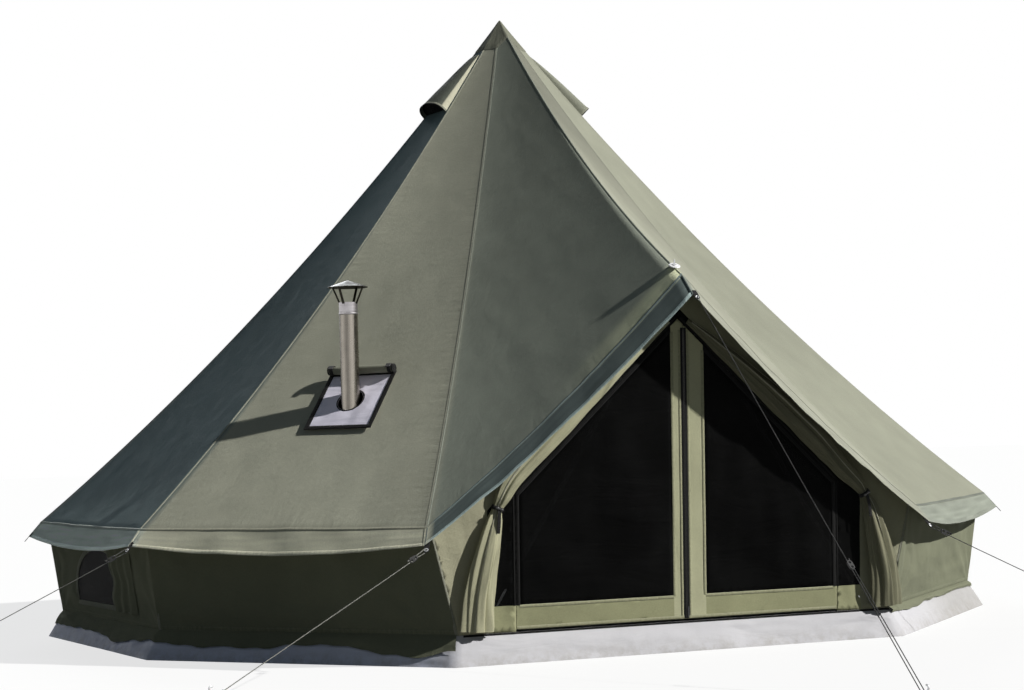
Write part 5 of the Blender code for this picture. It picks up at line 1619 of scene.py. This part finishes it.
leaf_move = door_move(0.0014, leaf_hold)
fixed_move = door_move(0.0085, fixed_hold)
net_move = door_move(0.006, net_hold)
door_uv = flat_uv(DOOR_BACK)


def net_corners(side):
    inner = ZIP_X + side * (LEAF_GAP / 2 + STILES[side])
    outer = side * (LEAF_OUTER - EDGE_BAND)
    drop = EDGE_BAND * math.hypot(1, HINGE_SLOPE)
    return [Vector(place) for place in (
        (outer, BOTTOM_BAND), (inner, BOTTOM_BAND), (inner, hinge_line(inner) - drop),
        (outer, hinge_line(outer) - drop))]


def door_band(name, start, end, width, look, body, out=0.0, lift=0.0012, slot="canvas_door", move=leaf_move):
    """Band on the door's outer face along a straight line."""
    count = max(1, int(math.hypot(end[0] - start[0], end[1] - start[1]) / 0.03))
    places = [(start[0] + (end[0] - start[0]) * k / count, start[1] + (end[1] - start[1]) * k / count)
              for k in range(count + 1)]
    line = [door_point(x, y, LEAF_THICKNESS / 2 + out) for x, y in places]
    line = [point + move(point) for point in line]
    return ribbon(name, line, flat_sides(DOOR, places), width, look, slot, lift, body)


def plane_across(x, up, *direction):
    """Cutting plane square to the door, through a point of it."""
    return door_point(x, up), heading(DOOR, *direction)


def make_net_hems(side, word, body):
    """Tape round the net, of canvas along the foot and the stile."""
    corners = net_corners(side)
    middle = sum(corners, Vector((0, 0))) / 4
    pieces = []
    for k, (start, end) in enumerate(zip(corners, corners[1:] + corners[:1])):
        along = unit(end - start)
        away = Vector((along.y, -along.x))
        if away.dot((start + end) / 2 - middle) < 0:
            away = -away
        shift = away * 0.0045
        look = door_hem if k in (0, 1) else black_tape
        pieces.append(door_band(f"net_hem_{word}_{k + 1}", start + shift, end + shift, 0.014, look, body))
    return pieces


def make_leaf(side, word):
    """Mesh door: canvas border with its net, hems and its half of the zip."""
    body = f"mesh_door_{word}"
    inner = ZIP_X + side * (LEAF_GAP / 2 + STILES[side])

    def beside(point):
        return side * ((DOOR_BACK @ point).x - inner) > 0

    def is_edge(point):
        return (DOOR_BACK @ point).y > BOTTOM_BAND and beside(point)

    def is_foot(point):
        return (DOOR_BACK @ point).y < BOTTOM_BAND and beside(point)

    border = recloth(
        f"door_canvas_{word}", [f"door_border_{word}"], door_canvas, leaf_move, door_uv, 0.034,
        "canvas_door", body, cuts=[plane_across(0, BOTTOM_BAND, 0, 1), plane_across(inner, 0, 1, 0)],
        others=[(black_tape, is_edge), (door_foot_canvas, is_foot)])
    net = recloth(f"door_mesh_{word}", [f"door_net_{word}"], insect_net, net_move, door_uv, 0.045,
                  "net_black", body)
    pieces = make_net_hems(side, word, body)

    def band(key, start, end, width, look, *settings):
        pieces.append(door_band(f"{key}_{word}", start, end, width, look, body, *settings))

    zip_edge = ZIP_X + side * LEAF_GAP / 2
    top = hinge_line(zip_edge) - 0.016
    low = LEAF_BOTTOM + 0.002
    tape = zip_edge + side * ZIP_BAND / 2
    band("zip_tape", (tape, low), (tape, top), ZIP_BAND, black_tape, 0.0004, 0.0006, "black_webbing")
    pieces.append(make_zip_teeth(side, word, zip_edge, top, body))
    facing = zip_edge + side * (ZIP_BAND + 0.006)
    band("zip_facing", (facing, low), (facing, top - 0.01), 0.012, door_hem)
    foot = LEAF_BOTTOM + 0.008
    band("door_foot", (zip_edge + side * 0.012, foot), (side * (LEAF_OUTER - 0.004), foot), 0.014, door_hem)


def make_zip_teeth(side, word, zip_edge, top, body):
    """Zip teeth: a row of small hooks on the tape's edge."""
    bm = bmesh.new()
    pitch = 0.005
    for k in range(int((top - LEAF_BOTTOM - 0.01) / pitch)):
        up = LEAF_BOTTOM + 0.006 + pitch * (k + (0.5 if side > 0 else 0.0))
        centre = Vector((zip_edge + side * 0.0024, up, LEAF_THICKNESS / 2 + 0.0018))
        for vert in bmesh.ops.create_cube(bm, size=1.0)["verts"]:
            x, y, z = vert.co
            taper = 0.8 if z > 0 else 1.0
            vert.co = centre + Vector((x * 0.0042 * taper, y * 0.0032 * taper, z * 0.0016))
    bmesh.ops.transform(bm, matrix=DOOR, verts=bm.verts)
    name = f"zip_teeth_{word}"
    return finish(name, mesh_of(name, bm), zip_coil, "rubber", body)


def make_surround(side, word, cloth):
    """Net beside the leaf, with canvas from the flap out to the wall and along its foot."""
    def is_canvas(point):
        local = DOOR_BACK @ point
        beside = abs(local.x) > LEAF_OUTER + 0.002 and local.y < BOTTOM_BAND
        return abs(local.x) > NET_OUTER or beside or local.y > hinge_line(local.x) + NET_ABOVE_HINGE

    def is_foot(point):
        local = DOOR_BACK @ point
        return local.y < BOTTOM_BAND and abs(local.x) < NET_OUTER and is_canvas(point)

    cuts = [plane_across(0, BOTTOM_BAND, 0, 1), plane_across(side * NET_OUTER, 0, 1, 0),
            plane_across(0, HINGE_TOP + NET_ABOVE_HINGE, side * HINGE_SLOPE, 1)]
    fixed = recloth(f"door_fixed_{word}", [f"door_surround_{word}"], insect_net, fixed_move, door_uv, 0.035,
                    "net_black", cuts=cuts, others=[(cloth, is_canvas), (door_foot_canvas, is_foot)])
    edge = LEAF_OUTER + 0.006
    corner = hinge_line(edge)
    tapes = [
        ("door_seam", (side * edge, BOTTOM_BAND), (side * edge, corner), 0.008),
        ("door_slope", (side * edge, corner + 0.017), (side * 0.012, HINGE_TOP + 0.006), 0.010)]
    pieces = [
        door_band(f"{key}_{word}", start, end, width, black_tape, "tent", slot="black_webbing",
                  move=fixed_move)
        for key, start, end, width in tapes]
    tuck(fixed)


# The left side canvas is the lighter copy that carries painted light
make_surround(-1, "left", lit_canvas)
make_surround(1, "right", side_canvas)
make_leaf(-1, "left")
make_leaf(1, "right")


# Canvas doors gathered back and tied

def smooth_route(stations, count):
    """Smooth curve of a number of values through stations evenly spaced along it."""
    made = []
    last = len(stations) - 1
    for place in spread(0, last, count):
        k = min(int(place), last - 1)
        t = place - k
        near = [stations[max(0, min(last, k + shift))] for shift in (-1, 0, 1, 2)]
        made.append([0.5 * (2 * b + (c - a) * t + (2 * a - 5 * b + 4 * c - d) * t * t
                            + (3 * b - a - 3 * c + d) * t ** 3) for a, b, c, d in zip(*near)])
    return made


def flap_stations(tie):
    """Stations of (x, up, half width, depth) along the door's slope, through the tie and down."""
    made = []
    slant = math.hypot(1, HINGE_SLOPE)
    for x, half, depth, slim in FLAP_SLOPE:
        margin = FLAP_MARGIN + FLAP_MARGIN_GROWTH * x * x
        off = half * (1 + FLAP_LOBE_DEPTH) + margin - half * (1 - slim) * 0.9
        made.append((x + off * HINGE_SLOPE / slant, hinge_line(x) + off / slant, half * slim, depth * slim))
    made.append((tie, FLAP_TIE_HEIGHT, 0.030, 0.022))
    made.append((tie + 0.055, 0.37, 0.048, 0.030))
    made.append((tie + 0.095, 0.18, 0.058, 0.031))
    made.append((tie + 0.105, 0.016, 0.066, 0.028))
    return made


def neck_of(route, tie):
    """Number of the route's point nearest the tie."""
    return min(range(len(route)), key=lambda n: abs(route[n][1] - FLAP_TIE_HEIGHT) + abs(route[n][0] - tie))


def course_of(route, k):
    """Direction of the route at one of its points."""
    before, after = route[max(0, k - 1)], route[min(len(route) - 1, k + 1)]
    return unit(Vector((after[0] - before[0], after[1] - before[1])))


def beside_route(side, place, course, across, out):
    """Point on the door's face beside a place of the route."""
    return door_point(side * (place[0] - across * course.y), place[1] + across * course.x, out)


def make_flap(side, word):
    """Gathered canvas: many narrow folds along the bundle, open at its back and its foot."""
    nearest = LEAF_THICKNESS / 2 + FLAP_CLEARANCE
    tie = FLAP_TIES[side]
    route = smooth_route(flap_stations(tie), FLAP_ROWS)
    courses = [course_of(route, k) for k in range(FLAP_ROWS)]
    runs = lengths([Vector(place[:2]) for place in route])
    neck = neck_of(route, tie)
    shares = spread(0, 1, FLAP_ROWS)

    def at(k, step):
        _, _, half, depth = route[k]
        share = shares[k]
        stage = share * 20
        loose = ease(share, 0.66, 0.85)
        rolled = 1 - ease(share, 0.45, 0.62)
        pinch = 1 - 0.30 * math.exp(-((k - neck) / 3.2) ** 2)
        turn = math.radians(-78) + math.radians(336) * (step - FLAP_HIDDEN) / (FLAP_COLUMNS - 1 - FLAP_HIDDEN)
        inward = max(0.0, (FLAP_HIDDEN - step) / FLAP_HIDDEN)
        main = math.cos(FLAP_LOBES * turn + 0.25 * stage + 0.5 * ripple(turn, share * 4, side))
        fine = math.cos(11 * turn - 0.12 * stage + 0.8 * ripple(turn, share * 5, side))
        tight = math.cos(19 * turn + 0.3 * ripple(turn * 2, share * 7, side + 5))
        lobe = 1 + FLAP_LOBE_DEPTH * main * (0.95 + 0.25 * loose) + (0.055 + 0.03 * loose) * fine
        lobe += 0.022 * tight + 0.06 * ripple(turn * 1.5, share * 14, side + 9) * (0.5 + rolled)
        lobe *= 1 - 0.10 * ease(inward, 0.0, 0.08) - 0.35 * inward
        across = half * lobe * pinch * math.cos(turn)
        out = nearest + depth * pinch * (1 + lobe * math.sin(turn)) - 0.004
        out = max(nearest + 0.0015 * (inward > 0), out)
        return beside_route(side, route[k], courses[k], across, out), (step * 0.0032, runs[k])

    rows, uv = chart(range(FLAP_ROWS), range(FLAP_COLUMNS), at)
    # Painted light on the left bundle, and painted shade on the right one, a little lighter lower down
    shades = [1.38 if side < 0 else 0.55 + 0.10 * ease(share, 0.55, 0.8) for share in shares]
    dye = [[(shade, shade, shade * 0.99)] * FLAP_COLUMNS for shade in shades]
    flap = grid(f"door_curtain_{word}", rows, flap_canvas, uv, "canvas_door", dye=dye)
    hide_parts(f"door_flap_{word}")
    pieces = make_tie(side, word, tie, route)
    for number, column in enumerate((104, 128, 160), 1):
        line = [row[column] + DOOR_OUT * 0.0006 for row in rows[2:-1]]
        sides = [(unit(row[column + 1] - row[column - 1]), DOOR_OUT) for row in rows[2:-1]]
        name = f"curtain_hem_{word}_{number}"
        pieces.append(ribbon(name, line, sides, 0.007, pale_hem, "canvas_door", 0.0012))


def make_tie(side, word, tie, route):
    """Webbing strap round the bundle's neck, its toggle and its loose end."""
    nearest = LEAF_THICKNESS / 2 + FLAP_CLEARANCE
    k = neck_of(route, tie)
    _, _, half, depth = route[k]
    course = course_of(route, k)
    sideways = heading(DOOR, side * course.x, course.y)
    line = []
    sides = []
    for turn in spread(0, 2 * math.pi, 37):
        out = max(nearest + 0.0005, nearest + depth * (0.75 + 0.92 * math.sin(turn)) - 0.003)
        line.append(beside_route(side, route[k], course, half * 0.90 * math.cos(turn), out))
        flat = heading(DOOR, -side * course.y * math.cos(turn), course.x * math.cos(turn), math.sin(turn))
        sides.append((sideways, unit(flat)))
    strap = ribbon(f"tie_strap_{word}", line, sides, 0.018, black_webbing, "black_webbing", 0.0014)
    front = line[9]
    toggle_place = frame_of(front + DOOR_OUT * 0.009, sideways, Vector((side, 0, 0.2)))
    half_toggle = ((0.0040, 0.002), (0.0068, 0.008), (0.0062, 0.015), (0.0035, 0.0195), (0.0, 0.020))
    profile = [(r, -z) for r, z in reversed(half_toggle)] + list(half_toggle)
    toggle_place = toggle_place @ Matrix.Rotation(math.pi / 2, 4, "X")
    toggle = lathe(f"tie_toggle_{word}", profile, toggle_place, black_plastic, "rubber", steps=24)
    end = []
    for t in spread(0, 1, 15):
        hang = Vector((side * 0.012 * t, 0, 0.003 - 0.11 * t))
        end.append(front + DOOR_OUT * (0.006 + 0.010 * math.sin(t * 2.2)) + hang)
    loose = ribbon(f"tie_end_{word}", end, [(Vector((1, 0, 0)), DOOR_OUT)] * len(end), 0.016, black_webbing,
                   "black_webbing", 0.0012)
    return [strap, toggle, loose]


make_flap(-1, "left")
make_flap(1, "right")


# Stove jack

def heat_move(point):
    local = JACK_BACK @ point
    inner = ease(JACK_WIDTH / 2 - max(abs(local.x), abs(local.y)), 0.0, 0.05)
    inner *= ease(math.hypot(local.x, local.y), 0.055, 0.09)
    return JACK_OUT * (0.0022 * inner * ripple(local.x * 14, local.y * 9, 4.0))


def frame_move(point):
    return JACK_OUT * 0.0006 * ripple(point.x * 30, point.y * 30)


def make_jack():
    """Heat panel with the binding round its hole, and its frame."""
    jack_uv = flat_uv(JACK_BACK)
    panel = recloth("heat_cloth", ["jack_heat_panel"], heat_cloth, heat_move, jack_uv, 0.02, "heat_white")
    border = recloth("jack_border", ["jack_frame"], black_tape, frame_move, jack_uv, 0.02, "black_webbing")
    reach = (PIPE_RADIUS + GAP) / JACK_OUT.z + 0.0058
    level = UP * (HEAT_PANEL_THICKNESS + GAP)
    rays = [Vector((math.cos(turn), math.sin(turn), 0)) for turn in round_turns(48)]
    hole = [JACK @ (ray * reach + level) for ray in rays]
    sides = [(heading(JACK, *ray), JACK_OUT) for ray in rays]
    stitch = ribbon("heat_hole_binding", hole, sides, 0.007, black_tape, "black_webbing", 0.0009, closed=True)


def make_roll():
    """Rain flap rolled up along the jack's upper edge, held by two straps with side buckles."""
    middle_y = JACK_LENGTH / 2 - 0.006
    middle_z = GAP * 4 + HEAT_PANEL_THICKNESS + CANVAS + ROLL_RADIUS
    half = (JACK_WIDTH - 0.01) / 2

    def at(x, share):
        pinch = 1 - 0.14 * sum(math.exp(-((x - strap) / 0.014) ** 2) for strap in ROLL_STRAPS)
        radius = pinch * (0.008 + (ROLL_RADIUS - 0.008) * share)
        radius *= 1 + 0.025 * ripple(x * 18, share * 12, 2.0)
        angle = -math.pi / 2 - 6 * math.pi * (1 - share)
        middle = Vector((x, middle_y, middle_z))
        return JACK @ (middle + Vector((0, math.cos(angle), math.sin(angle))) * radius), (x, share * 0.28)

    rows, uv = chart(spread(-half, half, 60), spread(0, 1, 121), at)
    roll = grid("rain_flap_roll", rows, plain_canvas, uv, "canvas_olive")
    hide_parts("jack_rain_flap")
    rays = [Vector((0, math.cos(turn), math.sin(turn))) for turn in spread(0, 2 * math.pi, 33)]
    sides = [(heading(JACK, 1, 0), heading(JACK, *ray)) for ray in rays]
    for number, x in enumerate(ROLL_STRAPS, 1):
        middle = Vector((x, middle_y, middle_z))
        line = [JACK @ (middle + ray * (ROLL_RADIUS * 0.93 + 0.0006)) for ray in rays]
        ribbon(
            f"roll_strap_{number}", line, sides, 0.020, black_webbing, "black_webbing", 0.0014)
        buckle = Matrix.Translation(middle + Vector((0, -ROLL_RADIUS * 0.25, ROLL_RADIUS + 0.0035)))
        block(
            f"roll_buckle_{number}", (0.026, 0.022, 0.006), JACK @ buckle, black_plastic, "rubber", 0.3)
    profile = [(ROLL_RADIUS * share, height) for share, height in (
        (0, -0.0045), (0.93, -0.0045), (1.02, -0.003), (1.02, 0.003), (0.93, 0.0045), (0, 0.0045))]
    for number, x in enumerate((-half, half), 1):
        cap = JACK @ Matrix.Translation((x, middle_y, middle_z)) @ Matrix.Rotation(math.pi / 2, 4, "Y")
        lathe(f"roll_end_{number}", profile, cap, black_webbing, "black_webbing")


make_jack()
make_roll()


# Rigid nodes keep their CAD shape and get their metals and plastics

def dress(look, *names):
    for name in names:
        mesh = nodes[name].data
        mesh.materials.clear()
        mesh.materials.append(look)


dress(pipe_steel, "stovepipe")
dress(collar_steel, "stovepipe_cap")
# The cap's cone and legs above the collar take the near-black steel of painted reflection
cap_mesh = nodes["stovepipe_cap"].data
cap_mesh.materials.append(cap_steel)
for polygon in cap_mesh.polygons:
    polygon.material_index = 1 if polygon.center.z > COLLAR_TOP + 0.001 else 0
dress(pole_steel, "centre_pole_lower", "centre_pole_upper", "a_frame_leg_left", "a_frame_leg_right",
      "a_frame_apex_joint")
dress(black_rubber, "centre_pole_foot")
dress(white_plastic, "a_frame_cap")
dress(black_plastic, "zip_slider")
for guy in range(1, 5):
    dress(black_plastic, f"guy_tensioner_{guy}")
    dress(pole_steel, f"guy_peg_{guy}")


# Floor and light

def seen(graph):
    """One for rays that see a thing itself, zero for those that only gather its light."""
    path = graph.add("ShaderNodeLightPath").outputs
    mirrored = graph.math("MAXIMUM", path["Is Glossy Ray"], path["Is Transmission Ray"])
    return graph.math("MAXIMUM", path["Is Camera Ray"], mirrored)


def make_floor_stage():
    look = Look("studio_floor", (0.5, 0.5, 0.5), 0.9)
    pale = look.add("ShaderNodeBsdfDiffuse", {"Color": WHITE}).outputs[0]
    glow = look.add("ShaderNodeEmission", {"Color": WHITE, "Strength": 1.0}).outputs[0]
    bounce = look.add("ShaderNodeBsdfDiffuse", {"Color": FLOOR_BOUNCE}).outputs[0]
    both = look.blend(seen(look), bounce, look.blend(FLOOR_GLOW, pale, glow))
    look.feed(both, look.tree.nodes["Material Output"].inputs["Surface"])
    corners = [(x * FLOOR_SIZE, y * FLOOR_SIZE, -0.001) for x, y in ((-1, -1), (1, -1), (1, 1), (-1, 1))]
    mesh = bpy.data.meshes.new("studio_floor")
    mesh.from_pydata(corners, [], [(0, 1, 2, 3)])
    mesh.materials.append(look.material)
    show("studio_floor", mesh)


def make_sun(name, away, strength, angle, colour):
    data = bpy.data.lights.new(name, "SUN")
    data.energy = strength
    data.angle = math.radians(angle)
    data.color = colour
    lamp = show(name, data)
    lamp.rotation_mode = "QUATERNION"
    lamp.rotation_quaternion = unit(away).to_track_quat("Z", "Y")


def make_world():
    world = bpy.data.worlds.new("studio")
    bpy.context.scene.world = world
    world.use_nodes = True
    graph = Graph(world.node_tree)
    sky = graph.tree.nodes["Background"]
    graph.feed(SKY, sky.inputs["Color"])
    graph.feed(SKY_STRENGTH, sky.inputs["Strength"])
    white = graph.add("ShaderNodeBackground", {"Color": WHITE, "Strength": 1.0})
    both = graph.blend(seen(graph), sky.outputs[0], white.outputs[0])
    graph.feed(both, graph.tree.nodes["World Output"].inputs["Surface"])


make_floor_stage()
make_sun("key_light", SUN_AWAY, SUN_STRENGTH, 1.2, (1.0, 0.985, 0.95))
make_sun("back_fill", FILL_AWAY, FILL_STRENGTH, 25.0, (0.93, 0.97, 1.0))
make_world()
bpy.context.scene.view_settings.view_transform = "Standard"
